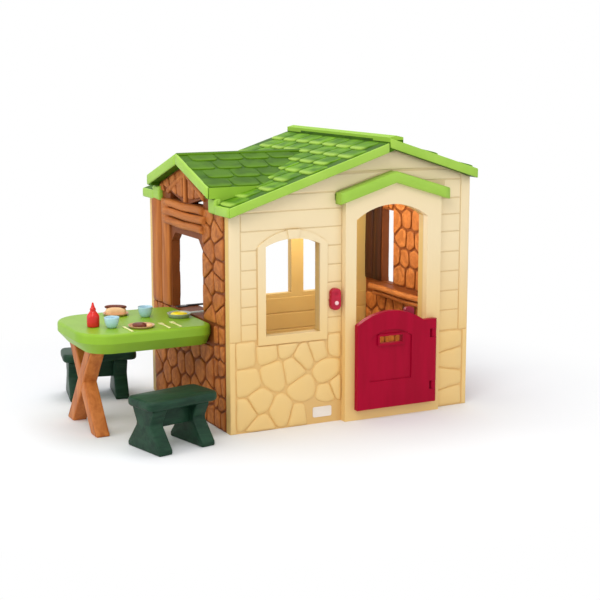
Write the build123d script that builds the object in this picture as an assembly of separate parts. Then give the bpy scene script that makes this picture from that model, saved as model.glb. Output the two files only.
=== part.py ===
from build123d import *
import math
import os

# Toy playhouse with an attached picnic table and two loose benches.
# Millimetres. X runs right along the front, Y runs from front to back, Z is up.
# The cabin is laid out from its front left corner at the floor, and the finished
# set is shifted so that the middle of its whole footprint is the origin.

# ---- cabin shell
CABIN_W = 1200.0            # outside, left to right
CABIN_D = 908.0             # outside, front to back
WALL_T = 38.0               # double-walled panel
DOOR_TO_RIGHT = 417.0       # middle of the door bay to the right corner
RIDGE_Z = 1194.0            # underside of the roof at the ridge
ROOF_SLOPE = 0.3236         # rise over run, both sides
ROOF_T = 42.0               # measured vertically
RAKE_OUT = 43.0             # roof past the front and back walls
EAVE_OUT = 12.0             # roof past the side walls
ROOF_SPLIT = 32.0           # joint between the roof halves, left of the ridge
SPLIT_GAP = 4.0
CAP_H = 20.0                # ridge cap above the roof
CAP_HALF_W = 36.0
CAP_FALL = 8.0

# ---- cross gable over the patio side
GABLE_Y = 454.0             # its ridge, from the front
GABLE_HALF_W = 352.0
GABLE_TOP_Z = 1171.0
GABLE_SLOPE = 0.34
GABLE_T = 46.0
GABLE_OUT = 45.0            # past the patio wall
CHEEK_T = 38.0

# ---- openings of the front and back walls
SILL_Z = 48.0               # thresholds of both doorways
DOORWAY_W = 363.0
DOORWAY_SPRING_Z = 896.0
DOORWAY_RISE = 61.0
DOORWAY_SHIFT = -8.5        # doorway off the middle of the bay
WINDOW_X = 298.0            # middle of the front window
WINDOW_W = 260.0
WINDOW_Z0 = 416.0
WINDOW_SPRING_Z = 802.0
WINDOW_RISE = 29.0
FRAME_W = 37.0              # raised window frame
FRAME_OUT = 9.0
KEYSTONE_OUT = 17.0
KEYSTONE_H = 42.0
KEYSTONE_HALF_W = 31.0
BACK_DOOR_X = 255.0
BACK_WINDOW_X = 765.0
BACK_WINDOW_W = 450.0
BACK_WINDOW_Z0 = 425.0
MULLION_W = 68.0

# ---- door bay and its green pediment
BAY_HALF_W = 244.0
BAY_OUT = 36.0
PEDIMENT_HALF_W = 277.0
PEDIMENT_PEAK_Z = 1052.0    # underside
PEDIMENT_END_Z = 968.0
PEDIMENT_T = 50.0
PEDIMENT_OUT = 60.0

# ---- patio wall
HATCH_Y0 = 275.0
HATCH_Y1 = 637.0
HATCH_Z0 = 458.0
HATCH_Z1 = 806.0
HATCH_CORNER = 46.0
WEDGE_Z = 955.0
WEDGE_H = 34.0
WEDGE_Y_IN = 43.0           # inner point, from the gable's middle
WEDGE_Y_OUT = 190.0
LEDGE_OUT = 72.0            # shelf inside the hatch
LEDGE_T = 28.0

# ---- right-hand wall
SIDE_WINDOW_Y0 = 600.0
SIDE_WINDOW_Y1 = 707.0
SIDE_WINDOW_Z0 = 474.0
SIDE_WINDOW_Z1 = 842.0
MANTEL_Y0 = 180.0
MANTEL_Y1 = 723.0
MANTEL_Z0 = 412.0
MANTEL_Z1 = 470.0
MANTEL_OUT = 60.0

# ---- half door
DOOR_LEFT = 197.0           # free edge, from the middle of the bay
HINGE_RIGHT = 201.0         # hinge line, from the middle of the bay
DOOR_T = 27.0
DOOR_GAP = 2.5              # behind the door
DOOR_Z0 = 50.0
DOOR_SHOULDER_Z = 432.0
DOOR_RISE = 55.0
STILE_W = 74.0              # hinge side, right of the arched part
BORDER_W = 62.0
PANEL_DEEP = 6.0
SLOT_W = 118.0
SLOT_Z0 = 342.0
SLOT_H = 34.0
SLOT_RIM = 9.0
SLOT_RIM_OUT = 2.5
BARREL_R = 15.0
PIN_R = 5.0
PIN_RUN = 0.06              # radial running clearance in the brackets
PIN_SEAT = 0.02
KNUCKLE_H = 36.0
KNUCKLE_GAP = 1.2           # door above and below each knuckle
KNUCKLE_ZS = (110.0, 350.0)
BRACKET_HALF_W = 12.0
PIN_BITE = 22.0             # pin into the door on each side of the knuckle
HANDLE_X = 83.0             # right of the middle of the bay
HANDLE_Z = 448.0
HANDLE_H = 86.0
HANDLE_W = 48.0
HANDLE_T = 16.0

# ---- door bell
BELL_X = 501.0
BELL_Z = 553.0
BELL_W = 50.0
BELL_H = 96.0
BELL_DEEP = 26.0
BELL_WALL = 2.5
BELL_FIT = 0.4
BUTTON_Z = 537.0
BUTTON_R = 9.0
BUTTON_FIT = 0.35
BUTTON_OUT = 5.0
BUTTON_TRAVEL = 3.0
BOARD_T = 1.6
SWITCH_SIZE = 6.0
SWITCH_H = 3.5
SPRING_WIRE = 0.8
SPRING_R = 5.4
SPRING_TURNS = 5

# ---- blank plate on the front wall
PLATE_X = 443.0
PLATE_Z = 52.0
PLATE_W = 92.0
PLATE_H = 46.0
PLATE_T = 3.0

# ---- screws
SCREW_R = 4.0
SCREW_HEAD_R = 9.0
SCREW_HEAD_H = 5.0
SCREW_FIT = 0.05
SCREW_BITE = 60.0

# ---- picnic table
TABLE_Y = 408.0
TABLE_W = 504.0
TABLE_L = 582.0
TABLE_Z = 454.0
TABLE_T = 92.0
TABLE_RIM = 42.0            # upright part of its edge
TABLE_IN = 44.0             # how far the underside draws in
TABLE_R = 145.0
TABLE_WALL_R = 58.0
LEG_Y = 412.0
LEG_T = 65.0
LEG_BACK = 56.0             # from the table's outer end
LEG_FOOT_HALF = 200.0
LEG_TOP_HALF = 156.0
LEG_PLANK_W = 80.0

# ---- benches
BENCH_X = -278.0
BENCH_OUT = 476.0           # bench middle, from the gable's middle
BENCH_TURN = 12.5           # degrees
BENCH_L = 346.0
BENCH_W = 190.0
BENCH_H = 221.0
SEAT_T = 40.0
SEAT_R = 34.0
SEAT_SHIFT = 10.0           # seat towards the cabin, from the middle of its legs
BENCH_LEG_X = 106.0
BENCH_LEG_T = 64.0
BENCH_FOOT_HALF = 119.0
BENCH_WAIST_HALF = 52.0
BENCH_WAIST_Z = 108.0
BENCH_TOP_HALF = 84.0
BENCH_FOOT_H = 16.0
APRON_T = 46.0
APRON_Z0 = 96.0

# ---- tableware, placed on the table top
REST_GAP = 0.3              # under every loose piece
BOTTLE_XY = (-480.0, 352.0)
BOTTLE_R = 27.0
BOTTLE_H = 106.0
SANDWICH_XY = (-305.0, 560.0)
STEAK_XY = (-300.0, 250.0)
PLATE_R = 57.0
PLATE_RIM_H = 11.0
PLATE_WALL = 3.0
DISH_FLARE = 0.8            # how far a rim leans out for its height
CUP_XYS = {"cup_near": (-417.0, 294.0), "cup_far": (-202.0, 460.0)}
CUP_TOP_R = 33.0
CUP_BASE_R = 24.0
CUP_H = 47.0
CUP_WALL = 2.5
ROLL_H = 34.0
PAN_XY = (-70.0, 388.0)
PAN_R = 54.0
PAN_H = 19.0
PAN_WALL = 3.0
PAN_HANDLE_L = 116.0
EGG_H = 7.0
FORK_XYS = {"fork_left": (-200.0, 230.0), "fork_right": (-146.0, 236.0)}
KNIFE_XY = (-368.0, 229.0)
CUTLERY_L = 118.0
CUTLERY_T = 3.0
SPATULA_XY = (78.0, 596.0)
SPATULA_L = 150.0

# ---- values that follow from those above
DOOR_X = CABIN_W - DOOR_TO_RIGHT
BACK_Y = CABIN_D - WALL_T
RIGHT_X = CABIN_W - WALL_T
BAY_Y = -BAY_OUT
HINGE_X = DOOR_X + HINGE_RIGHT
HINGE_Y = BAY_Y - BARREL_R - 0.5
DOOR_BACK_Y = BAY_Y - DOOR_GAP
DOOR_FRONT_Y = DOOR_BACK_Y - DOOR_T
TABLE_UNDER_Z = TABLE_Z - TABLE_T
VIEW_TURN = -27.0           # the sandwich and steak lie at this turn


# ======== plain shapes
def box(x0, x1, y0, y1, z0, z1):
    """A block between two corners."""
    middle = ((x0 + x1) / 2, (y0 + y1) / 2, (z0 + z1) / 2)
    return Pos(*middle) * Box(x1 - x0, y1 - y0, z1 - z0)


def prism_y(points, y0, y1):
    """An (x, z) outline carried from y0 to y1."""
    face = make_face(Polyline(*[(x, y0, z) for x, z in points], close=True))
    return extrude(face, amount=y1 - y0, dir=(0, 1, 0))


def prism_x(points, x0, x1):
    """A (y, z) outline carried from x0 to x1."""
    face = make_face(Polyline(*[(x0, y, z) for y, z in points], close=True))
    return extrude(face, amount=x1 - x0, dir=(1, 0, 0))


def rod_z(x, y, z0, z1, r):
    return Pos(x, y, (z0 + z1) / 2) * Cylinder(r, z1 - z0)


def rod_y(x, y0, y1, z, r):
    return Pos(x, (y0 + y1) / 2, z) * Rot(90, 0, 0) * Cylinder(r, y1 - y0)


def rod_x(x0, x1, y, z, r):
    return Pos((x0 + x1) / 2, y, z) * Rot(0, 90, 0) * Cylinder(r, x1 - x0)


def arched(x_mid, width, z0, spring_z, rise, y0, y1):
    """A round-topped block: straight sides up to spring_z, then one flat arc."""
    half = width / 2
    left = (x_mid - half, y0, spring_z)
    right = (x_mid + half, y0, spring_z)
    top = ThreePointArc(right, (x_mid, y0, spring_z + rise), left)
    sides = Polyline(left, (x_mid - half, y0, z0), (x_mid + half, y0, z0), right)
    return extrude(make_face([sides, top]), amount=y1 - y0, dir=(0, 1, 0))


def turned(points, x, y, z):
    """A solid of revolution about an upright line, from (radius, height) points."""
    face = make_face(Polyline(*[(r, 0, h) for r, h in points], close=True))
    return Pos(x, y, z) * revolve(face, axis=Axis.Z)


# ======== roof
def roof_z(x):
    """Height of the main roof's underside."""
    return RIDGE_Z - ROOF_SLOPE * abs(x - DOOR_X)


def gable_z(y):
    """Height of the cross gable's top surface."""
    return GABLE_TOP_Z - GABLE_SLOPE * abs(y - GABLE_Y)


def gable_tent(half_w, top_drop, floor_z, x0, x1):
    """The space below the gable's slopes, top_drop under its top surface."""
    near, far = GABLE_Y - half_w, GABLE_Y + half_w
    side_z = gable_z(near) - top_drop
    peak = (GABLE_Y, GABLE_TOP_Z - top_drop)
    return prism_x([(near, floor_z), (near, side_z), peak, (far, side_z), (far, floor_z)], x0, x1)


def under_main_roof():
    """Everything below the main roof's underside."""
    left, right = -2 * EAVE_OUT, CABIN_W + 2 * EAVE_OUT
    outline = [(left, 0), (left, roof_z(left)), (DOOR_X, RIDGE_Z), (right, roof_z(right)), (right, 0)]
    return prism_y(outline, -2 * RAKE_OUT, CABIN_D + 2 * RAKE_OUT)


def gable_inside():
    """The open space inside the cross gable."""
    return gable_tent(GABLE_HALF_W - CHEEK_T, GABLE_T, 0, -2 * GABLE_OUT, DOOR_X)


def room_below_roof():
    return under_main_roof() + gable_inside()


def roof_left():
    x0, x1 = -EAVE_OUT, DOOR_X - ROOF_SPLIT - SPLIT_GAP
    y0, y1 = -RAKE_OUT, CABIN_D + RAKE_OUT
    under0, under1 = roof_z(x0), roof_z(x1)
    slope = prism_y([(x0, under0), (x1, under1), (x1, under1 + ROOF_T), (x0, under0 + ROOF_T)], y0, y1)
    eave_z = gable_z(GABLE_Y - GABLE_HALF_W) - GABLE_T
    hood = gable_tent(GABLE_HALF_W, 0, 0, x0, x1) - under_main_roof()
    porch = gable_tent(GABLE_HALF_W, 0, eave_z, -GABLE_OUT, x0)
    return (slope + hood + porch) - gable_inside()


def roof_right():
    x0, x1 = DOOR_X - ROOF_SPLIT, CABIN_W + EAVE_OUT
    cap0, cap1 = x0, DOOR_X + CAP_HALF_W
    top = RIDGE_Z + ROOF_T + CAP_H
    outline = [
        (x0, roof_z(x0)), (DOOR_X, RIDGE_Z), (x1, roof_z(x1)), (x1, roof_z(x1) + ROOF_T),
        (cap1, roof_z(cap1) + ROOF_T), (cap1, top - CAP_FALL), (DOOR_X, top), (cap0, top - CAP_FALL),
    ]
    return prism_y(outline, -RAKE_OUT, CABIN_D + RAKE_OUT)


# ======== walls
def end_wall(y0, y1):
    """A plain front or back panel, cut to the roof."""
    return box(0, CABIN_W, y0, y1, 0, RIDGE_Z + ROOF_T) & under_main_roof()


def doorway(x, y0, y1):
    """The opening of the front or back doorway."""
    return arched(x, DOORWAY_W, SILL_Z, DOORWAY_SPRING_Z, DOORWAY_RISE, y0, y1)


def pediment_z(x):
    """Height of the pediment's underside."""
    fall = (PEDIMENT_PEAK_Z - PEDIMENT_END_Z) / PEDIMENT_HALF_W
    return PEDIMENT_PEAK_Z - fall * abs(x - DOOR_X)


def front_wall():
    wall = end_wall(0, WALL_T)
    bay0, bay1 = DOOR_X - BAY_HALF_W, DOOR_X + BAY_HALF_W
    bay_top = [(bay0, pediment_z(bay0)), (DOOR_X, PEDIMENT_PEAK_Z), (bay1, pediment_z(bay1))]
    wall += prism_y([(bay0, 0), *bay_top, (bay1, 0)], BAY_Y, 0)
    wall += arched(WINDOW_X, WINDOW_W + 2 * FRAME_W, WINDOW_Z0 - FRAME_W, WINDOW_SPRING_Z,
                   WINDOW_RISE + FRAME_W, -FRAME_OUT, 0)
    key_z = WINDOW_SPRING_Z + WINDOW_RISE - 3
    key = [(WINDOW_X - KEYSTONE_HALF_W, key_z + KEYSTONE_H), (WINDOW_X + KEYSTONE_HALF_W, key_z + KEYSTONE_H),
           (WINDOW_X + KEYSTONE_HALF_W * 0.68, key_z), (WINDOW_X - KEYSTONE_HALF_W * 0.68, key_z)]
    wall += prism_y(key, -KEYSTONE_OUT, 0)
    wall -= arched(WINDOW_X, WINDOW_W, WINDOW_Z0, WINDOW_SPRING_Z, WINDOW_RISE, -2 * KEYSTONE_OUT, WALL_T + 1)
    wall -= doorway(DOOR_X + DOORWAY_SHIFT, BAY_Y - 1, WALL_T + 1)
    for x, z in bell_screw_places():
        wall -= rod_y(x, -1, WALL_T / 2, z, BELL_SCREW_R + SCREW_FIT)
    return wall


def back_wall():
    wall = end_wall(BACK_Y, CABIN_D)
    wall -= doorway(BACK_DOOR_X, BACK_Y - 1, CABIN_D + 1)
    window = arched(BACK_WINDOW_X, BACK_WINDOW_W, BACK_WINDOW_Z0, WINDOW_SPRING_Z, WINDOW_RISE,
                    BACK_Y - 1, CABIN_D + 1)
    half = MULLION_W / 2
    wall -= window - box(BACK_WINDOW_X - half, BACK_WINDOW_X + half, BACK_Y - 2, CABIN_D + 2, 0, RIDGE_Z)
    for x, z in back_screw_places():
        wall -= rod_y(x, BACK_Y - 1, CABIN_D + 1, z, SCREW_R + SCREW_FIT)
        wall -= rod_y(x, CABIN_D - SCREW_HEAD_H, CABIN_D + 1, z, SCREW_HEAD_R + SCREW_FIT)
    return wall


def patio_wall():
    wall = box(0, WALL_T, WALL_T, BACK_Y, 0, GABLE_TOP_Z) & room_below_roof()
    cut = HATCH_CORNER
    hatch_top = [(HATCH_Y1, HATCH_Z1 - cut), (HATCH_Y1 - cut, HATCH_Z1),
                 (HATCH_Y0 + cut, HATCH_Z1), (HATCH_Y0, HATCH_Z1 - cut)]
    wall -= prism_x([(HATCH_Y0, HATCH_Z0), (HATCH_Y1, HATCH_Z0), *hatch_top], -1, WALL_T + 1)
    for side in (-1, 1):
        wedge = [(GABLE_Y + side * WEDGE_Y_IN, WEDGE_Z), (GABLE_Y + side * WEDGE_Y_OUT, WEDGE_Z),
                 (GABLE_Y + side * WEDGE_Y_OUT, WEDGE_Z + WEDGE_H)]
        wall -= prism_x(wedge, -1, WALL_T + 1)
    wall += box(WALL_T, WALL_T + LEDGE_OUT, HATCH_Y0, HATCH_Y1, HATCH_Z0 - LEDGE_T, HATCH_Z0)
    for y, z in table_screw_places():
        wall -= rod_x(-1, WALL_T + 1, y, z, SCREW_R + SCREW_FIT)
        wall -= rod_x(WALL_T - SCREW_HEAD_H, WALL_T + 1, y, z, SCREW_HEAD_R + SCREW_FIT)
    return wall - back_screw_holes()


def side_wall():
    wall = box(RIGHT_X, CABIN_W, WALL_T, BACK_Y, 0, RIDGE_Z) & under_main_roof()
    wall -= box(RIGHT_X - 1, CABIN_W + 1, SIDE_WINDOW_Y0, SIDE_WINDOW_Y1, SIDE_WINDOW_Z0, SIDE_WINDOW_Z1)
    shelf = [(RIGHT_X, MANTEL_Z0), (RIGHT_X - MANTEL_OUT, MANTEL_Z0 + MANTEL_OUT / 2),
             (RIGHT_X - MANTEL_OUT, MANTEL_Z1), (RIGHT_X, MANTEL_Z1)]
    wall += prism_y(shelf, MANTEL_Y0, MANTEL_Y1)
    return wall - back_screw_holes()


def door_pediment():
    x0, x1 = DOOR_X - PEDIMENT_HALF_W, DOOR_X + PEDIMENT_HALF_W
    up = PEDIMENT_T
    outline = [(x0, PEDIMENT_END_Z), (DOOR_X, PEDIMENT_PEAK_Z), (x1, PEDIMENT_END_Z),
               (x1, PEDIMENT_END_Z + up), (DOOR_X, PEDIMENT_PEAK_Z + up), (x0, PEDIMENT_END_Z + up)]
    return prism_y(outline, -PEDIMENT_OUT, 0)


def blank_plate():
    plate = box(PLATE_X - PLATE_W / 2, PLATE_X + PLATE_W / 2, -PLATE_T, 0,
                PLATE_Z - PLATE_H / 2, PLATE_Z + PLATE_H / 2)
    return fillet(plate.edges().filter_by(Axis.Y), 8)


# ======== screws
def back_screw_places():
    """Three screws up each back corner, in the middle of the side panels."""
    heights = [RIDGE_Z * share for share in (0.12, 0.42, 0.72)]
    return [(x, z) for x in (WALL_T / 2, CABIN_W - WALL_T / 2) for z in heights]


def screw_y(x, head_y, z):
    """A screw that points towards the front, with its head at head_y."""
    shank = rod_y(x, head_y - WALL_T - SCREW_BITE, head_y, z, SCREW_R)
    head = rod_y(x, head_y - SCREW_HEAD_H, head_y, z, SCREW_HEAD_R)
    slot = box(x - 1, x + 1, head_y - 2, head_y + 1, z - SCREW_HEAD_R, z + SCREW_HEAD_R)
    return shank + head - slot


def back_screw_holes():
    deep = BACK_Y - SCREW_BITE - 1
    return [rod_y(x, deep, BACK_Y + 1, z, SCREW_R + SCREW_FIT) for x, z in back_screw_places()]


def back_screws():
    return [screw_y(x, CABIN_D, z) for x, z in back_screw_places()]


def table_screw_places():
    """Four screws through the patio wall into the table's end."""
    mid_z = TABLE_Z - TABLE_T * 0.42
    return [(TABLE_Y + share * TABLE_W, mid_z) for share in (-0.3, -0.1, 0.1, 0.3)]


def table_screws():
    screws = []
    for y, z in table_screw_places():
        shank = rod_x(-SCREW_BITE, WALL_T, y, z, SCREW_R)
        head = rod_x(WALL_T - SCREW_HEAD_H, WALL_T, y, z, SCREW_HEAD_R)
        slot = box(WALL_T - 2, WALL_T + 1, y - 1, y + 1, z - SCREW_HEAD_R, z + SCREW_HEAD_R)
        screws.append(shank + head - slot)
    return screws


# ======== half door
def hinge_brackets():
    """The two brackets on the bay, each a web with a round knuckle."""
    brackets = []
    for z in KNUCKLE_ZS:
        web = box(HINGE_X - BRACKET_HALF_W, HINGE_X + BRACKET_HALF_W, HINGE_Y, BAY_Y, z, z + KNUCKLE_H)
        knuckle = rod_z(HINGE_X, HINGE_Y, z, z + KNUCKLE_H, BARREL_R - 0.5)
        bore = rod_z(HINGE_X, HINGE_Y, z - 1, z + KNUCKLE_H + 1, PIN_R + PIN_RUN)
        brackets.append(web + knuckle - bore)
    return brackets


def hinge_pins():
    """The two pins, each seated in the door above and below its knuckle."""
    return [rod_z(HINGE_X, HINGE_Y, z - PIN_BITE, z + KNUCKLE_H + PIN_BITE, PIN_R) for z in KNUCKLE_ZS]


def door_arch(inset, y0, y1):
    """The door's arched outline left of the hinge stile, drawn in by inset."""
    x0 = DOOR_X - DOOR_LEFT + inset
    x1 = HINGE_X + BARREL_R - STILE_W - inset
    width = x1 - x0
    rise = DOOR_RISE * width / (width + 2 * inset)
    return arched((x0 + x1) / 2, width, DOOR_Z0 + 2 * inset, DOOR_SHOULDER_Z - inset, rise, y0, y1)


def door_middle():
    """Middle of the arched part, where the panel and the mail slot are."""
    return (DOOR_X - DOOR_LEFT + HINGE_X + BARREL_R - STILE_W) / 2


def door_panel():
    stile = box(HINGE_X + BARREL_R - STILE_W, HINGE_X, DOOR_FRONT_Y, DOOR_BACK_Y, DOOR_Z0, DOOR_SHOULDER_Z)
    door = door_arch(0, DOOR_FRONT_Y, DOOR_BACK_Y) + stile
    door += rod_z(HINGE_X, HINGE_Y, DOOR_Z0, DOOR_SHOULDER_Z, BARREL_R)
    door -= door_arch(BORDER_W, DOOR_FRONT_Y - 1, DOOR_FRONT_Y + PANEL_DEEP)
    mid = door_middle()
    rim_y = DOOR_FRONT_Y - SLOT_RIM_OUT
    rim = box(mid - SLOT_W / 2 - SLOT_RIM, mid + SLOT_W / 2 + SLOT_RIM, rim_y, DOOR_FRONT_Y + PANEL_DEEP,
              SLOT_Z0 - SLOT_RIM, SLOT_Z0 + SLOT_H + SLOT_RIM)
    door += fillet(rim.edges().filter_by(Axis.Y), SLOT_RIM)
    door -= box(mid - SLOT_W / 2, mid + SLOT_W / 2, rim_y - 1, DOOR_BACK_Y + 1, SLOT_Z0, SLOT_Z0 + SLOT_H)
    notch_x = HINGE_X - BRACKET_HALF_W - 12
    for z in KNUCKLE_ZS:
        door -= box(notch_x, HINGE_X + BARREL_R + 1, HINGE_Y - BARREL_R - 1, BAY_Y,
                    z - KNUCKLE_GAP, z + KNUCKLE_H + KNUCKLE_GAP)
        door -= rod_z(HINGE_X, HINGE_Y, z - PIN_BITE, z + KNUCKLE_H + PIN_BITE, PIN_R + PIN_SEAT)
    return door


def door_handle():
    """Pull on the inside of the door; its top shows over the edge."""
    x, half = DOOR_X + HANDLE_X, HANDLE_W / 2
    z0 = HANDLE_Z - HANDLE_H / 2
    grip = box(x - half, x + half, DOOR_BACK_Y, DOOR_BACK_Y + HANDLE_T, z0, z0 + HANDLE_H)
    return fillet(grip.edges().filter_by(Axis.Y), HANDLE_T)


# ======== door bell
BELL_FRONT_Y = -BELL_DEEP
BELL_BASE_T = 3.0
BELL_SCREW_R = 1.5
BOARD_Y0 = -BELL_BASE_T - 4.0 - BOARD_T
BUTTON_BACK_Y = BELL_FRONT_Y + BELL_WALL + 2.2
SPEAKER_R = 13.0
CELL_ROOM = 1.65            # half the free depth in front of the cells
CELL_DROP = 13.5            # top of the cells, below the button's middle


def bell_block(grow, y0, y1):
    """The bell's rounded outline, drawn out by grow."""
    w, h = BELL_W + 2 * grow, BELL_H + 2 * grow
    block = box(BELL_X - w / 2, BELL_X + w / 2, y0, y1, BELL_Z - h / 2, BELL_Z + h / 2)
    return fillet(block.edges().filter_by(Axis.Y), w * 0.42)


def bell_screw_places():
    return [(BELL_X, BELL_Z + shift) for shift in (-BELL_H * 0.42, BELL_H * 0.42)]


def bell_base():
    inset = -BELL_WALL - BELL_FIT
    base = bell_block(inset, -BELL_BASE_T, 0)
    for x in (BELL_X - 13, BELL_X + 13):
        for z in (BELL_Z - 30, BELL_Z + 30):
            base += rod_y(x, BOARD_Y0 + BOARD_T, -BELL_BASE_T, z, 3)
    for x, z in bell_screw_places():
        base -= rod_y(x, -BELL_BASE_T - 1, 1, z, BELL_SCREW_R + SCREW_FIT)
    return base


def bell_screws():
    screws = []
    for x, z in bell_screw_places():
        head = rod_y(x, -BELL_BASE_T - 2, -BELL_BASE_T, z, 3)
        screws.append(head + rod_y(x, -BELL_BASE_T, WALL_T / 2 - 2, z, BELL_SCREW_R))
    return screws


def bell_cover():
    cover = bell_block(0, BELL_FRONT_Y, 0)
    front = cover.faces().sort_by(Axis.Y)[0]
    cover = fillet(front.edges(), 7)
    cover -= bell_block(-BELL_WALL, BELL_FRONT_Y + BELL_WALL + 4, 1)
    cover -= bell_block(-BELL_WALL - 5, BELL_FRONT_Y + BELL_WALL, 0)
    cover -= rod_y(BELL_X, BELL_FRONT_Y - 1, BELL_FRONT_Y + BELL_WALL + 1, BUTTON_Z, BUTTON_R + BUTTON_FIT)
    for dx in (-6, 0, 6):
        for dz in (-6, 0, 6):
            cover -= rod_y(BELL_X + dx, BELL_FRONT_Y - 1, BELL_FRONT_Y + BELL_WALL + 1, BELL_Z + 26 + dz, 1.4)
    return cover


def bell_board():
    board = box(BELL_X - 16, BELL_X + 16, BOARD_Y0, BOARD_Y0 + BOARD_T, BELL_Z - 40, BELL_Z + 40)
    half = SWITCH_SIZE / 2
    board += box(BELL_X - half, BELL_X + half, BOARD_Y0 - SWITCH_H, BOARD_Y0,
                 BUTTON_Z - half, BUTTON_Z + half)
    for x, z in bell_screw_places():
        board -= rod_y(x, BOARD_Y0 - 1, BOARD_Y0 + BOARD_T + 1, z, 4)
    return board


def bell_speaker():
    z = BELL_Z + 24
    body = rod_y(BELL_X, BOARD_Y0 - 5, BOARD_Y0, z, SPEAKER_R)
    return body - rod_y(BELL_X, BOARD_Y0 - 6, BOARD_Y0 - 4, z, SPEAKER_R - 2)


def bell_cells():
    """Three button cells side by side in front of the board."""
    r = (BOARD_Y0 - BELL_FRONT_Y - BELL_WALL) / 2 - CELL_ROOM
    thick, gap = 5.4, 0.2
    y, z = BOARD_Y0 - r, BUTTON_Z - CELL_DROP - r
    start = BELL_X - 1.5 * thick - gap
    return [rod_x(start + i * (thick + gap), start + i * (thick + gap) + thick, y, z, r) for i in range(3)]


def bell_button():
    dome_y = BELL_FRONT_Y - BUTTON_OUT
    cap = rod_y(BELL_X, dome_y, BUTTON_BACK_Y - 2.0, BUTTON_Z, BUTTON_R)
    cap = fillet(cap.faces().sort_by(Axis.Y)[0].edges(), 3.5)
    flange = rod_y(BELL_X, BUTTON_BACK_Y - 2.0, BUTTON_BACK_Y, BUTTON_Z, BUTTON_R + 2.6)
    stem_end = BOARD_Y0 - SWITCH_H - BUTTON_TRAVEL - 0.5
    return cap + flange + rod_y(BELL_X, BUTTON_BACK_Y, stem_end, BUTTON_Z, 2.6)


def button_spring():
    """A coil between the button's flange and the board, around the switch."""
    start, end = BUTTON_BACK_Y + SPRING_WIRE / 2 + 0.02, BOARD_Y0 - SPRING_WIRE / 2 - 0.02
    length = end - start
    path = Helix(length / SPRING_TURNS, length, SPRING_R)
    wire = sweep(Plane(path @ 0, z_dir=path % 0) * Circle(SPRING_WIRE / 2), path=path)
    return Pos(BELL_X, start, BUTTON_Z) * Rot(-90, 0, 0) * wire


# ======== picnic table
def table_outline(inset, z):
    """Table outline: round outer corners, smaller ones at the wall."""
    y0, y1 = TABLE_Y - TABLE_W / 2 + inset, TABLE_Y + TABLE_W / 2 - inset
    x0 = -TABLE_L + inset
    outer_r, wall_r = TABLE_R - inset, TABLE_WALL_R
    corners = [(x0, y0, outer_r), (0, y0, wall_r), (0, y1, wall_r), (x0, y1, outer_r)]
    mid_x, pull = -TABLE_L / 2, 1 - math.sqrt(0.5)
    arcs, ends = [], []
    for x, y, radius in corners:
        in_x = math.copysign(radius, mid_x - x)
        in_y = math.copysign(radius, TABLE_Y - y)
        along, across = (x + in_x, y, z), (x, y + in_y, z)
        arcs.append(ThreePointArc(along, (x + in_x * pull, y + in_y * pull, z), across))
        ends.append((along, across))
    sides = [Line(ends[0][0], ends[1][0]), Line(ends[1][1], ends[2][1]),
             Line(ends[2][0], ends[3][0]), Line(ends[3][1], ends[0][1])]
    return make_face(arcs + sides)


def table_top():
    rim_z = TABLE_Z - TABLE_RIM
    top = extrude(table_outline(0, rim_z), amount=TABLE_RIM, dir=(0, 0, 1))
    upper = top.faces().sort_by(Axis.Z)[-1].edges().filter_by(lambda edge: edge.center().X < -1)
    top = fillet(upper, 13)
    top += loft([table_outline(TABLE_IN, TABLE_UNDER_Z), table_outline(0, rim_z)], ruled=True)
    for y, z in table_screw_places():
        top -= rod_x(-SCREW_BITE - 1, 1, y, z, SCREW_R + SCREW_FIT)
    return top


def table_leg():
    """Two crossed planks under the table's outer end."""
    x0 = -TABLE_L + LEG_BACK
    leg = None
    for side in (-1, 1):
        foot, top = LEG_Y - side * LEG_FOOT_HALF, LEG_Y + side * LEG_TOP_HALF
        plank = prism_x([(foot, 0), (foot + side * LEG_PLANK_W, 0), (top, TABLE_UNDER_Z),
                         (top - side * LEG_PLANK_W, TABLE_UNDER_Z)], x0, x0 + LEG_T)
        leg = plank if leg is None else leg + plank
    return leg


# ======== benches
def bench_pieces():
    """One bench about the origin, its long side along X."""
    under = BENCH_H - SEAT_T
    seat = box(SEAT_SHIFT - BENCH_L / 2, SEAT_SHIFT + BENCH_L / 2, -BENCH_W / 2, BENCH_W / 2, under, BENCH_H)
    seat = fillet(seat.edges().filter_by(Axis.Z), SEAT_R)
    seat = fillet(seat.faces().sort_by(Axis.Z)[-1].edges(), 14)
    half = [(BENCH_FOOT_HALF, 0), (BENCH_FOOT_HALF, BENCH_FOOT_H),
            (BENCH_WAIST_HALF, BENCH_WAIST_Z), (BENCH_TOP_HALF, under)]
    outline = half + [(-y, z) for y, z in reversed(half)]
    legs = [prism_x(outline, x - BENCH_LEG_T / 2, x + BENCH_LEG_T / 2) for x in (-BENCH_LEG_X, BENCH_LEG_X)]
    reach = BENCH_LEG_X - BENCH_LEG_T / 2
    apron = box(-reach, reach, -APRON_T / 2, APRON_T / 2, APRON_Z0, under)
    return {"seat": seat, "leg_left": legs[0], "leg_right": legs[1], "apron": apron}


# ======== tableware
def loose_z():
    """Where the loose pieces stand."""
    return TABLE_Z + REST_GAP


def dish(x, y, radius, height, wall):
    """A shallow round dish with a flared rim."""
    z = loose_z()
    foot = radius - height * DISH_FLARE
    points = [(0, 0), (foot, 0), (radius, height), (radius - wall, height), (foot - wall, wall), (0, wall)]
    return turned(points, x, y, z)


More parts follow.
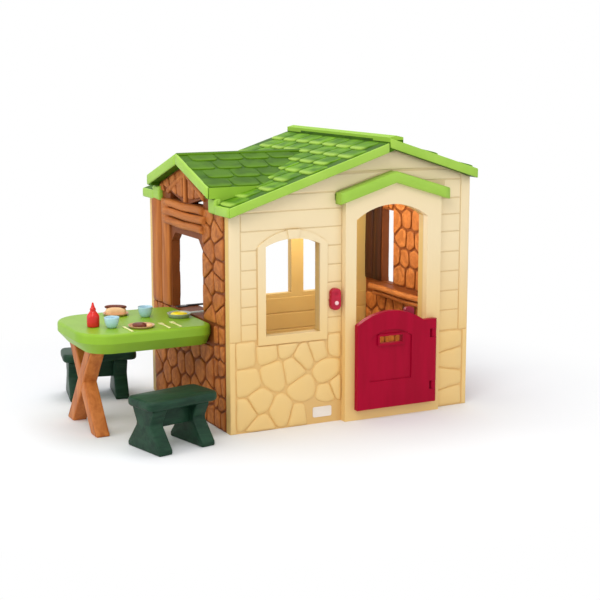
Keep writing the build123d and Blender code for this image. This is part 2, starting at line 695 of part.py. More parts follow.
def ketchup_bottle():
    x, y = BOTTLE_XY
    r, h = BOTTLE_R, BOTTLE_H
    points = [(0, 0), (r * 0.9, 0), (r, r * 0.2), (r, h * 0.42), (r * 0.62, h * 0.62), (r * 0.42, h * 0.68),
              (r * 0.42, h * 0.74), (r * 0.16, h * 0.97), (r * 0.1, h), (0, h)]
    return turned(points, x, y, loose_z())


def bun_half(length, width, height):
    """Half a roll: a rounded block."""
    block = Box(length, width, height, align=(Align.CENTER, Align.CENTER, Align.MIN))
    block = fillet(block.edges().filter_by(Axis.Z), min(length, width) * 0.48)
    return fillet(block.faces().sort_by(Axis.Z)[-1].edges(), height * 0.45)


def sandwich_pieces():
    x, y = SANDWICH_XY
    base_z = loose_z() + PLATE_WALL
    place = Pos(x, y, base_z) * Rot(0, 0, VIEW_TURN)
    bun = place * bun_half(86, 50, ROLL_H)
    filling = place * Pos(0, 0, ROLL_H) * bun_half(94, 30, 15)
    plate = dish(x, y, PLATE_R, PLATE_RIM_H, PLATE_WALL)
    return {"sandwich_plate": plate, "bread_roll": bun, "sausage": filling}


def steak_pieces():
    x, y = STEAK_XY
    base_z = loose_z() + PLATE_WALL
    place = Pos(x, y, base_z) * Rot(0, 0, VIEW_TURN)
    steak = place * Pos(-9, 0, 0) * bun_half(62, 42, 13)
    side = place * Pos(33.5, 0, 0) * bun_half(20, 28, 9)
    plate = dish(x, y, PLATE_R, PLATE_RIM_H, PLATE_WALL)
    return {"steak_plate": plate, "steak": steak, "bread_slice": side}


def cup(x, y):
    outside = [(0, 0), (CUP_BASE_R, 0), (CUP_TOP_R, CUP_H)]
    inside = [(CUP_TOP_R - CUP_WALL, CUP_H), (CUP_BASE_R - CUP_WALL, CUP_WALL), (0, CUP_WALL)]
    return turned(outside + inside, x, y, loose_z())


def frying_pan():
    x, y = PAN_XY
    pan = dish(x, y, PAN_R, PAN_H, PAN_WALL)
    z1 = loose_z() + PAN_H
    handle = box(x + PAN_R - PAN_WALL, x + PAN_R + PAN_HANDLE_L, y - 8, y + 8, z1 - 9, z1)
    handle = fillet(handle.edges().filter_by(Axis.X), 4)
    return pan + handle


def fried_egg():
    x, y = PAN_XY
    base_z = loose_z() + PAN_WALL
    white = turned([(0, 0), (30, 0), (26, 3), (0, 3)], x, y, base_z)
    yolk = turned([(0, 0), (14, 0), (11, EGG_H - 3.5), (0, EGG_H - 3)], x, y, base_z + 3)
    return white + yolk


def cutlery_blank(x, y, head_w, head_l):
    """A flat handle that points to the front, with a wider head at the back."""
    z = loose_z()
    half = CUTLERY_L / 2
    handle = box(x - 4, x + 4, y - half, y + half - head_l, z, z + CUTLERY_T)
    handle = fillet(handle.edges().filter_by(Axis.Z), 3.9)
    head = box(x - head_w / 2, x + head_w / 2, y + half - head_l - 6, y + half, z, z + CUTLERY_T)
    return handle + fillet(head.edges().filter_by(Axis.Z), head_w * 0.3)


def fork(x, y):
    blank = cutlery_blank(x, y, 17, 34)
    z, tip = loose_z(), y + CUTLERY_L / 2
    for shift in (-4.2, 0, 4.2):
        blank -= box(x + shift - 0.9, x + shift + 0.9, tip - 22, tip + 1, z - 1, z + CUTLERY_T + 1)
    return blank


def table_knife():
    return cutlery_blank(*KNIFE_XY, 13, 58)


def spatula():
    """A turner that lies on the shelf inside the hatch."""
    x, y = SPATULA_XY
    z = HATCH_Z0 + REST_GAP
    x0 = x - SPATULA_L / 2
    blade = box(x0, x0 + 52, y - 19, y + 19, z, z + 5)
    blade = fillet(blade.edges().filter_by(Axis.Z), 7)
    return blade + box(x0 + 50, x0 + SPATULA_L, y - 6, y + 6, z, z + 7)


# ======== the whole set
def house_nodes():
    upper, lower = reversed(hinge_brackets())
    return {
        "front_wall": front_wall(), "back_wall": back_wall(),
        "patio_wall": patio_wall(), "side_wall": side_wall(),
        "roof_left": roof_left(), "roof_right": roof_right(), "door_pediment": door_pediment(),
        "blank_plate": blank_plate(), "hinge_bracket_upper": upper, "hinge_bracket_lower": lower,
        "back_screws": back_screws(), "table_screws": table_screws(),
        "bell_base": bell_base(), "bell_cover": bell_cover(), "bell_board": bell_board(),
        "bell_speaker": bell_speaker(), "bell_cells": bell_cells(), "bell_screws": bell_screws(),
        "bell_button": bell_button(), "button_spring": button_spring(),
        "table_top": table_top(), "table_leg": table_leg(),
    }


def door_nodes():
    lower, upper = hinge_pins()
    return {"door_panel": door_panel(), "door_handle": door_handle(),
            "hinge_pin_lower": lower, "hinge_pin_upper": upper}


def bench_nodes():
    nodes = {}
    for name, side in (("near", -1), ("far", 1)):
        place = Pos(BENCH_X, GABLE_Y + side * BENCH_OUT, 0) * Rot(0, 0, -side * BENCH_TURN)
        for piece, shape in bench_pieces().items():
            nodes[f"{name}_bench_{piece}"] = place * shape
    return nodes


def tableware_nodes():
    nodes = {"ketchup_bottle": ketchup_bottle(), "frying_pan": frying_pan(), "fried_egg": fried_egg(),
             "table_knife": table_knife(), "spatula": spatula()}
    nodes.update(sandwich_pieces())
    nodes.update(steak_pieces())
    for name, place in CUP_XYS.items():
        nodes[name] = cup(*place)
    for name, place in FORK_XYS.items():
        nodes[name] = fork(*place)
    return nodes


def as_compound(shape):
    """One compound from a solid or a list of separate solids."""
    shapes = shape if isinstance(shape, list) else [shape]
    return Compound([solid for part in shapes for solid in part.solids()])


def main():
    os.makedirs("parts", exist_ok=True)
    nodes = {**house_nodes(), **door_nodes(), **bench_nodes(), **tableware_nodes()}
    solids = {name: as_compound(shape) for name, shape in nodes.items()}
    whole = Compound(list(solids.values())).bounding_box()
    centre = Pos(-(whole.min.X + whole.max.X) / 2, -(whole.min.Y + whole.max.Y) / 2, 0)
    for name, shape in solids.items():
        export_step(centre * shape, f"parts/{name}.step")
    print("shift", round(centre.position.X, 3), round(centre.position.Y, 3))


main()
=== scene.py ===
import math

import bpy
import numpy as np
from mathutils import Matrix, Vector


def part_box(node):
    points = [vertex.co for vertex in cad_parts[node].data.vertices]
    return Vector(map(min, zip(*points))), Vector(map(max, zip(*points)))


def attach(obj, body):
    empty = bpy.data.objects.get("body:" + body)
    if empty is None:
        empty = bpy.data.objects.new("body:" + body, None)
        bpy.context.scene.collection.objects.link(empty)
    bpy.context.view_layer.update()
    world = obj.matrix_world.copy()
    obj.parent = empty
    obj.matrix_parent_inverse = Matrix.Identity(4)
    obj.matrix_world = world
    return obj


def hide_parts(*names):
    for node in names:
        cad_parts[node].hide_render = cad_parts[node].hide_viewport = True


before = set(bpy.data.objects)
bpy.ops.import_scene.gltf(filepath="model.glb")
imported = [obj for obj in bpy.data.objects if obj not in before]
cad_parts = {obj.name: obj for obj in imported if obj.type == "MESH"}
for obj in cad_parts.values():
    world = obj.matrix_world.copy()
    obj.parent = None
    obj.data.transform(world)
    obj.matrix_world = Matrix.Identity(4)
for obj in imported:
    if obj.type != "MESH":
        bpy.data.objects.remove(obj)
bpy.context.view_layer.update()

bl_info = {
    "name": "Plastic playhouse",
    "version": (1, 0, 0),
    "blender": (4, 5, 0),
    "location": "View3D > Sidebar > Playhouse",
    "description": "Builds the surface detail of a moulded playhouse with a picnic table and benches",
    "category": "Object",
}

MM = 0.001
WALL_LOW, WALL_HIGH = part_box("back_wall")
CABIN_W, CABIN_D = 1200.0, 908.0
HOUSE = np.array([WALL_LOW.x, WALL_HIGH.y - CABIN_D * MM, 0.0])   # front left corner of the cabin

DOOR_X, RIDGE_Z, SLOPE, ROOF_T = 783.0, 1194.0, 0.3236, 42.0
GABLE_Y, GABLE_TOP, GABLE_SLOPE, GABLE_HALF, GABLE_T = 454.0, 1171.0, 0.34, 352.0, 46.0
PED_HALF, PED_PEAK, PED_END, PED_T, PED_OUT = 277.0, 1052.0, 968.0, 50.0, 60.0
PED_FALL = (PED_PEAK - PED_END) / PED_HALF
BAY_LEFT, BAY_RIGHT = 539.0, 1027.0
WALL_T, STRIP_T = 38.0, 4.0                                       # wall panels and their corner strips


def roof_z(x):
    """Underside of the main roof over house x."""
    return RIDGE_Z - SLOPE * np.abs(x - DOOR_X)


def gable_z(y):
    """Top of the cross gable over house y."""
    return GABLE_TOP - GABLE_SLOPE * np.abs(y - GABLE_Y)


# ======== surfaces
class Plane:
    """A flat place to build on, in house millimetres: an origin, two directions in it and one out of it."""

    def __init__(self, origin, along, up, out):
        self.axes = [np.array(a, float) for a in (origin, along, up, out)]

    def __call__(self, u, v, h):
        """Points u along, v up and h out: the origin plus each of them times its own direction."""
        origin, *ways = self.axes
        return origin + sum(np.asarray(k)[..., None] * way for k, way in zip((u, v, h), ways))

    def at(self, x, y=0.0, z=0.0):
        """The same directions from another origin."""
        return Plane((x, y, z), *self.axes[1:])

    def turned(self):
        """The same place with along and up exchanged, for upright boards."""
        origin, along, up, out = self.axes
        return Plane(origin, up, along, out)


FRONT = Plane((0, 0, 0), (1, 0, 0), (0, 0, 1), (0, -1, 0))
BACK = Plane((0, CABIN_D, 0), (1, 0, 0), (0, 0, 1), (0, 1, 0))
PATIO = Plane((0, 0, 0), (0, 1, 0), (0, 0, 1), (-1, 0, 0))
SIDE = Plane((CABIN_W, 0, 0), (0, 1, 0), (0, 0, 1), (1, 0, 0))
LEVEL = Plane((0, 0, 0), (1, 0, 0), (0, 1, 0), (0, 0, 1))
BACK_IN, PATIO_IN, SIDE_IN = FRONT.at(0, CABIN_D - WALL_T), SIDE.at(WALL_T), PATIO.at(CABIN_W - WALL_T)


class Shells:
    """Closed surfaces gathered into one object, with two values on each point:
    tone, one number for each stone, board or tab, and rim, 0 in its middle and 1 at its edge."""

    def __init__(self):
        self.points, self.quads, self.tris, self.tones, self.rims = [], [], [], [], []
        self.count = 0

    def add(self, points, quads, tris, tone, rim):
        """Adds shells whose faces all turn the same way, and turns them outwards by their signed volume."""
        points = np.asarray(points, float).reshape(-1, 3)
        middle = points.mean(0)
        fans = np.concatenate([quads[:, [0, 1, 2]], quads[:, [0, 2, 3]], tris])
        a, b, c = (points[fans[:, i]] - middle for i in range(3))
        if np.einsum("ij,ij->", a, np.cross(b, c)) < 0:
            quads, tris = quads[:, ::-1], tris[:, ::-1]
        self.points.append(points)
        self.quads.append(quads + self.count)
        self.tris.append(tris + self.count)
        self.tones.append(np.zeros(len(points)) + tone)
        self.rims.append(rim)
        self.count += len(points)

    def build(self, name, slot, look, body="house", replaces=()):
        """Makes the object in the row frame, in metres, riding on its body, with the material of the key look."""
        points = np.concatenate(self.points) * MM + HOUSE
        quads, tris = np.concatenate(self.quads), np.concatenate(self.tris)
        mesh = bpy.data.meshes.new(name)
        mesh.vertices.add(len(points))
        mesh.vertices.foreach_set("co", points.astype(np.float32).ravel())
        loops = np.concatenate([quads.ravel(), tris.ravel()])
        starts = np.concatenate([np.arange(len(quads)) * 4, len(quads) * 4 + np.arange(len(tris)) * 3])
        mesh.loops.add(len(loops))
        mesh.loops.foreach_set("vertex_index", loops.astype(np.int32))
        mesh.polygons.add(len(starts))
        mesh.polygons.foreach_set("loop_start", starts.astype(np.int32))
        mesh.update(calc_edges=True)
        for key, values in (("tone", self.tones), ("rim", self.rims)):
            attribute = mesh.attributes.new(key, "FLOAT", "POINT")
            attribute.data.foreach_set("value", np.concatenate(values).astype(np.float32))
        mesh.polygons.foreach_set("use_smooth", np.ones(len(starts), bool))
        if mesh.validate():
            raise RuntimeError(f"{name} has bad faces")
        piece = bpy.data.objects.new(name, mesh)
        bpy.context.scene.collection.objects.link(piece)
        mesh.materials.append(material(look))
        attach(piece, body)
        if replaces:
            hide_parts(*replaces)


def tube_faces(stations, around):
    """Quads of a tube of stations rings with around points each, and fans to two end poles that follow them."""
    i, j = np.meshgrid(np.arange(stations - 1), np.arange(around), indexing="ij")
    k = (j + 1) % around
    quads = np.stack([i * around + j, i * around + k, (i + 1) * around + k, (i + 1) * around + j], -1).reshape(-1, 4)
    j = np.arange(around)
    k = (j + 1) % around
    first, last = stations * around, stations * around + 1
    start = np.stack([np.full(around, first), k, j], -1)
    end = np.stack([np.full(around, last), (stations - 1) * around + j, (stations - 1) * around + k], -1)
    return quads, np.concatenate([start, end])


def directions(around):
    """That many angles round a full turn."""
    return np.arange(around) / around * 2 * np.pi


def repeat_faces(quads, tris, copies, stride):
    """The same faces for each of several shells of stride points."""
    shift = (np.arange(copies) * stride)[:, None, None]
    return (quads[None] + shift).reshape(-1, 4), (tris[None] + shift).reshape(-1, 3)


# share of the outline's radius, share of the height: from the back over the edge to the middle of the face
PILLOW = np.array([(1.0, -1.0), (1.0, 0.05), (0.985, 0.42), (0.94, 0.72), (0.86, 0.88), (0.7, 0.96), (0.4, 1.0)])
DOME = np.array([(1.0, -1.0), (1.0, 0.02), (0.985, 0.2), (0.95, 0.42), (0.88, 0.62), (0.76, 0.8), (0.58, 0.93),
                 (0.3, 1.0)])


def pads(shells, place, centre, radius, height, tone, sunk=1.5, tilt=None, profile=PILLOW, shade=None):
    """Pillows: a polar surface for each centre. A point is the centre plus share times radius in its direction,
    raised by height times the profile's height; tilt(u, v, h) may change the height over the outline."""
    copies, around = radius.shape
    turn = directions(around)
    share, lift = profile[:, 0], profile[None, :, 1, None]
    middle_u, middle_v = centre[:, 0], centre[:, 1]
    reach = share[None, :, None] * radius[:, None, :]
    across, along = reach * np.cos(turn), reach * np.sin(turn)
    h, top = lift * height[:, None, None] * np.ones_like(across), height
    if tilt is not None:
        h, top = tilt(across, along, h), tilt(0.0, 0.0, height)
    h = np.where(lift < 0, -sunk, h)
    rings = place(middle_u[:, None, None] + across, middle_v[:, None, None] + along, h).reshape(copies, -1, 3)
    poles = np.stack([place(middle_u, middle_v, np.full(copies, -sunk)), place(middle_u, middle_v, top)], 1)
    stride = len(profile) * around + 2
    quads, tris = repeat_faces(*tube_faces(len(profile), around), copies, stride)
    rim = np.tile(np.concatenate([np.repeat(share, around), [1.0, 0.0]]), copies)
    if shade is not None:
        rim = np.concatenate([shade(along.reshape(copies, -1)), np.full((copies, 2), shade(0.0))], 1).ravel()
    shells.add(np.concatenate([rings, poles], 1), quads, tris, np.repeat(tone, stride), rim)


def cell_radius(seeds, gap, limits, around, lines):
    """Outline of each stone as a radius in each direction: the smooth least of the distances to the lines half way
    to every other seed, to the four sides of its own limits (u0, u1, v0, v1) and to extra lines (nu, nv, d)."""
    turn = directions(around)
    ray = np.stack([np.cos(turn), np.sin(turn)], -1)
    to = seeds[None] - seeds[:, None]
    far = np.linalg.norm(to, axis=-1) + np.eye(len(seeds)) * 1e6
    normal = to / far[..., None]
    reach = far / 2 - gap / 2
    sides = np.array([(-1, 0), (1, 0), (0, -1), (0, 1)], float)
    bounds = np.stack([seeds[:, 0] - limits[:, 0], limits[:, 1] - seeds[:, 0],
                       seeds[:, 1] - limits[:, 2], limits[:, 3] - seeds[:, 1]], -1) - gap / 2
    for nu, nv, d in lines:
        sides = np.concatenate([sides, [(nu, nv)]])
        bounds = np.concatenate([bounds, (d - seeds @ np.array([nu, nv]) - gap / 2)[:, None]], 1)
    normal = np.concatenate([normal, np.broadcast_to(sides, (len(seeds),) + sides.shape)], 1)
    reach = np.maximum(np.concatenate([reach, bounds], 1), 2.0)
    closeness = np.maximum(np.einsum("ijk,lk->ijl", normal, ray), 0) / reach[..., None]
    return (closeness ** 9).sum(1) ** (-1 / 9)


def stones(shells, place, seeds, limits, height, rng, gap=7.0, lines=(), keep=None, around=36, profile=PILLOW):
    """Stone relief: pillows over the cells of the seeds, each a little higher or lower than the next."""
    seeds = np.asarray(seeds, float)
    radius = cell_radius(seeds, gap, limits + np.zeros((len(seeds), 4)), around, lines)
    turn = directions(around)
    phase = rng.uniform(0, 2 * np.pi, (len(seeds), 2))
    radius = radius * (0.985 + 0.015 * np.sin(3 * turn + phase[:, :1]) + 0.012 * np.sin(5 * turn + phase[:, 1:]))
    keep = np.arange(len(seeds)) if keep is None else np.asarray(keep)
    high = height * rng.uniform(0.75, 1.0, len(keep))
    pads(shells, place, seeds[keep], radius[keep], high, rng.uniform(0, 1, len(keep)), profile=profile)


def scatter(rng, u0, u1, v0, v1, wide, tall, stagger=0.25):
    """Jittered seeds in staggered rows, about wide by tall apart."""
    seeds = []
    rows = max(1, round((v1 - v0) / tall))
    columns = max(1, round((u1 - u0) / wide))
    for row in range(rows):
        shift = stagger if row % 2 else -stagger
        for column in range(columns):
            u = u0 + (column + 0.5 + shift * (columns > 1)) / columns * (u1 - u0)
            v = v0 + (row + 0.5) / rows * (v1 - v0)
            seeds.append((u + rng.uniform(-0.2, 0.2) * wide, v + rng.uniform(-0.2, 0.2) * tall))
    seeds = np.array(seeds)
    seeds[:, 0] = np.clip(seeds[:, 0], u0 + wide * 0.3, u1 - wide * 0.3)
    seeds[:, 1] = np.clip(seeds[:, 1], v0 + tall * 0.3, v1 - tall * 0.3)
    return seeds


# across the width, height: closed loops from the back over the face
BOARD = np.array([(0, -0.5), (0, 0.55), (0.03, 0.9), (0.09, 1.0), (0.5, 0.75), (0.93, 0.45), (0.985, 0.3), (1, -0.5)])
ROUND = np.array([(0.0, -0.2)] + [(0.5 - 0.5 * math.cos(a), math.sin(a) ** 0.75) for a in np.linspace(0.12, 3.02, 13)]
                 + [(1.0, -0.2)])
SOFT = np.array([(0, -0.3), (0, 0.5), (0.04, 0.82), (0.12, 0.97), (0.5, 1.0), (0.88, 0.97), (0.96, 0.82), (1, 0.5),
                 (1, -0.3)])

# a board's ends: distances from the end, and the share of the thickness that is left there
END_STEPS = np.array([0.0, 0.8, 2.4])[:, None]
DRAWN_IN = (0.45, 0.8, 0.96)


def plank(shells, place, ends, low, high, thick, tone=0.5, loop=BOARD, steps=8, bow=lambda t: 0.0):
    """A board: the closed loop carried between its ends, two numbers or a function that gives them at each v, and
    drawn in over its last few millimetres. bow(t) moves it across by that many millimetres at share t of its
    length."""
    v = low + (high - low) * loop[:, 0]
    u0, u1 = (np.zeros_like(v) + end for end in (ends(v) if callable(ends) else ends))
    shrink = np.array([*DRAWN_IN, *[1.0] * steps, *DRAWN_IN[::-1]])
    inner = np.linspace(0, 1, steps + 2)[1:-1, None]
    u = np.concatenate([u0 + END_STEPS, u0 + inner * (u1 - u0), u1 - END_STEPS[::-1]])
    v = v + bow((u - u0) / np.where(np.abs(u1 - u0) < 1e-6, 1, u1 - u0)) + np.zeros_like(u)
    h = loop[:, 1] * thick * np.where(loop[:, 1] < 0, 1.0, shrink[:, None])
    rings = place(u, v, h).reshape(-1, 3)
    poles = np.stack([place(u[i].mean(), v[i].mean(), h[i].mean()) for i in (0, -1)])
    quads, tris = tube_faces(len(u), len(loop))
    edge = np.abs(loop[:, 0] * 2 - 1) + np.zeros_like(u)
    shells.add(np.concatenate([rings, poles]), quads, tris, tone, np.concatenate([edge.ravel(), [1, 1]]))


def lathe(shells, centre, profile, around=40):
    """A turned solid about an upright line through centre, from closed (radius, height) points that start and end
    on the line."""
    profile = np.asarray(profile, float)
    turn = directions(around)
    inner = profile[1:-1]
    z = inner[:, 1:] * np.ones(around)
    rings = np.stack([inner[:, :1] * np.cos(turn), inner[:, :1] * np.sin(turn), z], -1).reshape(-1, 3)
    poles = [(0, 0, profile[0, 1]), (0, 0, profile[-1, 1])]
    quads, tris = tube_faces(len(inner), around)
    rim = np.concatenate([np.repeat(np.linspace(0, 1, len(inner)), around), [0, 1]])
    shells.add(np.concatenate([rings, poles]) + centre, quads, tris, 0.5, rim)


def rounded(points, radius, steps=5):
    """A closed outline with each corner turned into an arc of that radius, or less where its sides are short."""
    p = np.asarray(points, float)
    out = []
    for before, at, after in zip(np.roll(p, 1, 0), p, np.roll(p, -1, 0)):
        a, b = before - at, after - at
        la, lb = np.linalg.norm(a), np.linalg.norm(b)
        a, b = a / la, b / lb
        half = math.acos(np.clip(a @ b, -1, 1)) / 2
        reach = min(radius / math.tan(half), 0.45 * la, 0.45 * lb)
        t = np.linspace(0, 1, steps)[:, None]
        out.append((1 - t) ** 2 * (at + a * reach) + 2 * t * (1 - t) * at + t ** 2 * (at + b * reach))
    return np.concatenate(out)


def prism(shells, place, outline, low, high, bevel, tone=0.5):
    """A slab: the closed outline (u, v) carried from low to high out of the plane, its two rims rounded by drawing
    the outline in along its own normals."""
    p = np.asarray(outline, float)
    tangent = np.roll(p, -1, 0) - np.roll(p, 1, 0)
    normal = np.stack([tangent[:, 1], -tangent[:, 0]], -1) / np.linalg.norm(tangent, axis=1)[:, None]
    x, y = p[:, 0], p[:, 1]
    if np.sum(x * np.roll(y, -1) - np.roll(x, -1) * y) < 0:
        normal = -normal
    arc = np.linspace(0, np.pi / 2, 4)
    inset = np.concatenate([bevel * (1 - np.sin(arc)), bevel * (1 - np.cos(arc))])
    rise = np.concatenate([low + bevel * (1 - np.cos(arc)), high - bevel * (1 - np.sin(arc))])
    ring = p[None] - normal[None] * inset[:, None, None]
    level = rise[:, None] * np.ones(len(p))
    points = place(ring[..., 0], ring[..., 1], level).reshape(-1, 3)
    poles = np.stack([place(*p.mean(0), end) for end in (low, high)])
    quads, tris = tube_faces(len(rise), len(p))
    rim = np.concatenate([np.repeat(inset / bevel, len(p)), [0, 0]])
    shells.add(np.concatenate([points, poles]), quads, tris, tone, rim)


def blob(shells, centre, radii, turn, flat, lumps=0.0, power=2.4, around=32, rings=12):
    """A closed superellipsoid about centre, turned about the upright by turn radians, its underside flattened so
    that it reaches only flat times its height below the middle."""
    a = np.linspace(0, 2 * np.pi, around, endpoint=False)
    b = np.linspace(np.pi / 2, -np.pi / 2, rings + 2)[1:-1, None]

    def bend(t):
        return np.sign(t) * np.abs(t) ** (2 / power)

    rough = 1 + lumps * np.sin(3 * a + 1.0) * np.cos(2 * b)
    x = radii[0] * bend(np.cos(b)) * bend(np.cos(a)) * rough
    y = radii[1] * bend(np.cos(b)) * bend(np.sin(a)) * rough
    z = radii[2] * np.maximum(bend(np.sin(b)), -flat) * np.ones(around)
    c, s = math.cos(turn), math.sin(turn)
    grid = np.stack([c * x - s * y, s * x + c * y, z], -1).reshape(-1, 3)
    poles = [(0, 0, radii[2]), (0, 0, -flat * radii[2])]
    quads, tris = tube_faces(rings, around)
    rim = np.concatenate([np.repeat(np.linspace(0, 1, rings), around), [0, 1]])
    shells.add(np.concatenate([grid, poles]) + centre, quads, tris, 0.5, rim)


# ======== settings
def rgb(r, g, b):
    """A display colour, 0 to 255, as a linear colour."""
    c = np.array([r, g, b]) / 255
    return (*np.where(c <= 0.04045, c / 12.92, ((c + 0.055) / 1.055) ** 2.4).tolist(), 1.0)


def tint(name, r, g, b, description):
    """A colour setting, given by its display values."""
    return bpy.props.FloatVectorProperty(name=name, description=description, default=rgb(r, g, b), size=4, min=0.0,
                                         max=1.0, subtype="COLOR")


def length(name, mm, description):
    """A size setting, given in millimetres and held in metres."""
    return bpy.props.FloatProperty(name=name, description=description, default=mm * MM, min=0.0, unit="LENGTH")


class CabinSettings(bpy.types.PropertyGroup):
    """Sizes and colours of the cabin."""
    siding_thick: length("Siding", 3.2, "How far the clapboards stand out")
    cream_stone: length("Cream stones", 11.0, "How far the cream stones stand out at most")
    brown_stone: length("Brown stones", 9.5, "How far the brown stones stand out at most")
    shingle_thick: length("Shingles", 9.0, "Thickness of a shingle at its butt")
    cream_high: tint("Cream, high", 240, 219, 176, "Cream plastic high on the walls")
    cream_low: tint("Cream, low", 234, 196, 124, "Cream plastic near the floor")
    # painted shade: the cream as it looks in the grooves and at the edges of stones and boards; the high one also
    # tints random tones and clouds
    groove_shade_and_mottle_high: tint("Grooves, high", 222, 198, 150, "Grooves of the cream walls, high up")
    groove_shade_low: tint("Grooves, low", 222, 180, 110, "Grooves of the cream walls, near the floor")
    # painted shade: the inside is the same cream plastic, coloured as it looks in the shade of the cabin
    shade_gold: tint("Inside", 224, 186, 106, "Inside of the cream walls")
    stone_light: tint("Stone, light", 206, 128, 62, "Light streaks of the brown stones")
    stone_dark: tint("Stone, dark", 150, 82, 32, "Dark streaks of the brown stones")
    roof: tint("Roof", 108, 158, 14, "Shingles of the main roof")
    # painted highlight on the lower ends of the shingles
    roof_butt_highlight: tint("Shingle butt highlights", 176, 210, 92, "Lighter lower ends of the shingles")
    # painted shade: the roof's green as it looks in shade on the patio gable
    gable: tint("Gable", 78, 120, 8, "Shingles of the patio gable")
    trim: tint("Trim", 162, 202, 74, "Roof rails and pediment")
    door: tint("Door", 168, 0, 44, "Half door and its brackets")
    bell: tint("Bell", 190, 14, 52, "Cover of the door bell")


class TableSettings(bpy.types.PropertyGroup):
    """Sizes and colours of the table and the benches."""
    leg_round: length("Leg edges", 7.0, "Rounding of the crossed leg's edges")
    seat_round: length("Seat edges", 13.0, "Rounding of the bench seats' edges")
    table: tint("Table", 140, 182, 42, "Table top")
    leg: tint("Leg", 204, 124, 60, "Crossed leg of the table")
    bench: tint("Benches", 34, 68, 48, "Both benches")


class StageSettings(bpy.types.PropertyGroup):
    """Light and floor."""
    key_power: bpy.props.FloatProperty(name="Key light", description="Power of the light at the front left",
                                       default=108.0, min=0.0, unit="POWER")
    fill_strength: bpy.props.FloatProperty(name="Room", description="Strength of the light from all round",
                                           default=0.68, min=0.0, subtype="FACTOR")
    floor: bpy.props.FloatVectorProperty(name="Floor", description="Colour of the floor near the object",
                                         default=(0.86, 0.865, 0.88, 1.0), size=4, min=0.0, max=1.0, subtype="COLOR")


def cabin_settings():
    """The cabin's settings in this scene."""
    return bpy.context.scene.playhouse_cabin


def table_settings():
    """The table's and the benches' settings in this scene."""
    return bpy.context.scene.playhouse_table


# ======== materials
class Sock:
    """One shader value or colour. Arithmetic on it makes Math nodes."""

    def __init__(self, tree, socket):
        self.tree, self.socket = tree, socket

    def math(self, operation, *values):
        """A Math node on the values, which are numbers or sockets."""
        node = self.tree.node("ShaderNodeMath", {"operation": operation}, dict(enumerate(values)))
        return Sock(self.tree, node.outputs[0])

    def __add__(self, other):
        return self.math("ADD", self, other)

    def __sub__(self, other):
        return self.math("SUBTRACT", self, other)

    def __rsub__(self, other):
        return self.math("SUBTRACT", other, self)

    def __mul__(self, other):
        return self.math("MULTIPLY", self, other)

    def __pow__(self, other):
        return self.math("POWER", self, other)

    def __rpow__(self, other):
        return self.math("POWER", other, self)

    __radd__, __rmul__ = __add__, __mul__

    def below(self, other):
        """1 where this is less, else 0."""
        return self.math("LESS_THAN", self, other)

    def above(self, other):
        """1 where this is more, else 0."""
        return self.math("GREATER_THAN", self, other)

    def step(self, low, high):
        """0 below low, 1 above high, smooth between."""
        node = self.tree.node("ShaderNodeMapRange", {"interpolation_type": "SMOOTHSTEP"},
                              {"Value": self, "From Min": low, "From Max": high, "To Min": 0.0, "To Max": 1.0})
        return Sock(self.tree, node.outputs["Result"])

    def mix(self, low, high):
        """Colour low where this is 0 and high where it is 1."""
        node = self.tree.node("ShaderNodeMix", {"data_type": "RGBA"}, {0: self, 6: low, 7: high})
        return Sock(self.tree, node.outputs[2])


class Tree:
    """A node tree, emptied, whose nodes all come from one method."""

    def __init__(self, tree):
        self.tree = tree
        tree.nodes.clear()

    def node(self, kind, settings=(), sockets=()):
        """A node of that kind: its settings first, then the value or the link of each socket by name or number."""
        node = self.tree.nodes.new(kind)
        for key, value in dict(settings).items():
            setattr(node, key, value)
        for key, value in dict(sockets).items():
            if isinstance(value, Sock):
                self.tree.links.new(value.socket, node.inputs[key])
            else:
                node.inputs[key].default_value = value
        return node

    def out(self, kind, settings=(), sockets=(), output=0):
        """One output of a new node, as a Sock."""
        return Sock(self, self.node(kind, settings, sockets).outputs[output])

    def seen(self):
        """1 where the background is seen straight on, in a gloss or through glass, else 0."""
        path = self.node("ShaderNodeLightPath").outputs
        return sum(Sock(self, path[f"Is {ray} Ray"]) for ray in ("Camera", "Glossy", "Transmission"))


class Paint(Tree):
    """A material with one Principled shader that reads the place on the object."""

    def __init__(self, name, roughness=0.5, coat=0.0, metallic=0.0, specular=0.5):
        self.material = bpy.data.materials.new(name)
        self.material.use_nodes = True
        super().__init__(self.material.node_tree)
        self.constants = {"Roughness": roughness, "Coat Weight": coat, "Metallic": metallic,
                          "Specular IOR Level": specular}
        self.where = self.out("ShaderNodeTexCoord", output="Object")
        split = self.node("ShaderNodeSeparateXYZ", (), {0: self.where})
        self.x, self.y, self.z = (Sock(self, socket) for socket in split.outputs)

    def attribute(self, name):
        """A value that the mesh holds on its points."""
        return self.out("ShaderNodeAttribute", {"attribute_name": name}, output="Fac")

    def noise(self, scale, detail=3.0, stretch=(1, 1, 1), rough=0.5, warp=0.0):
        """Noise between about 0 and 1, stretched by scaling the place it reads."""
        place = self.out("ShaderNodeMapping", (), {"Vector": self.where, "Scale": stretch})
        return self.out("ShaderNodeTexNoise", (), {"Vector": place, "Scale": scale, "Detail": detail,
                                                   "Roughness": rough, "Distortion": warp}, "Fac")

    def shader(self, colour, bump=None, strength=0.2, distance=0.001, roughness=None):
        """The Principled shader in that colour, with bump and varying roughness where there are some."""
        sockets = {**self.constants, "Base Color": colour}
        if roughness is not None:
            sockets["Roughness"] = roughness
        if bump is not None:
            sockets["Normal"] = self.out("ShaderNodeBump", (), {"Strength": strength, "Distance": distance,
                                                                "Height": bump})
        return self.out("ShaderNodeBsdfPrincipled", (), sockets)

    def finish(self, *surface, **options):
        """Puts the shader on the material's surface."""
        self.node("ShaderNodeOutputMaterial", (), {"Surface": self.shader(*surface, **options)})
        return self.material


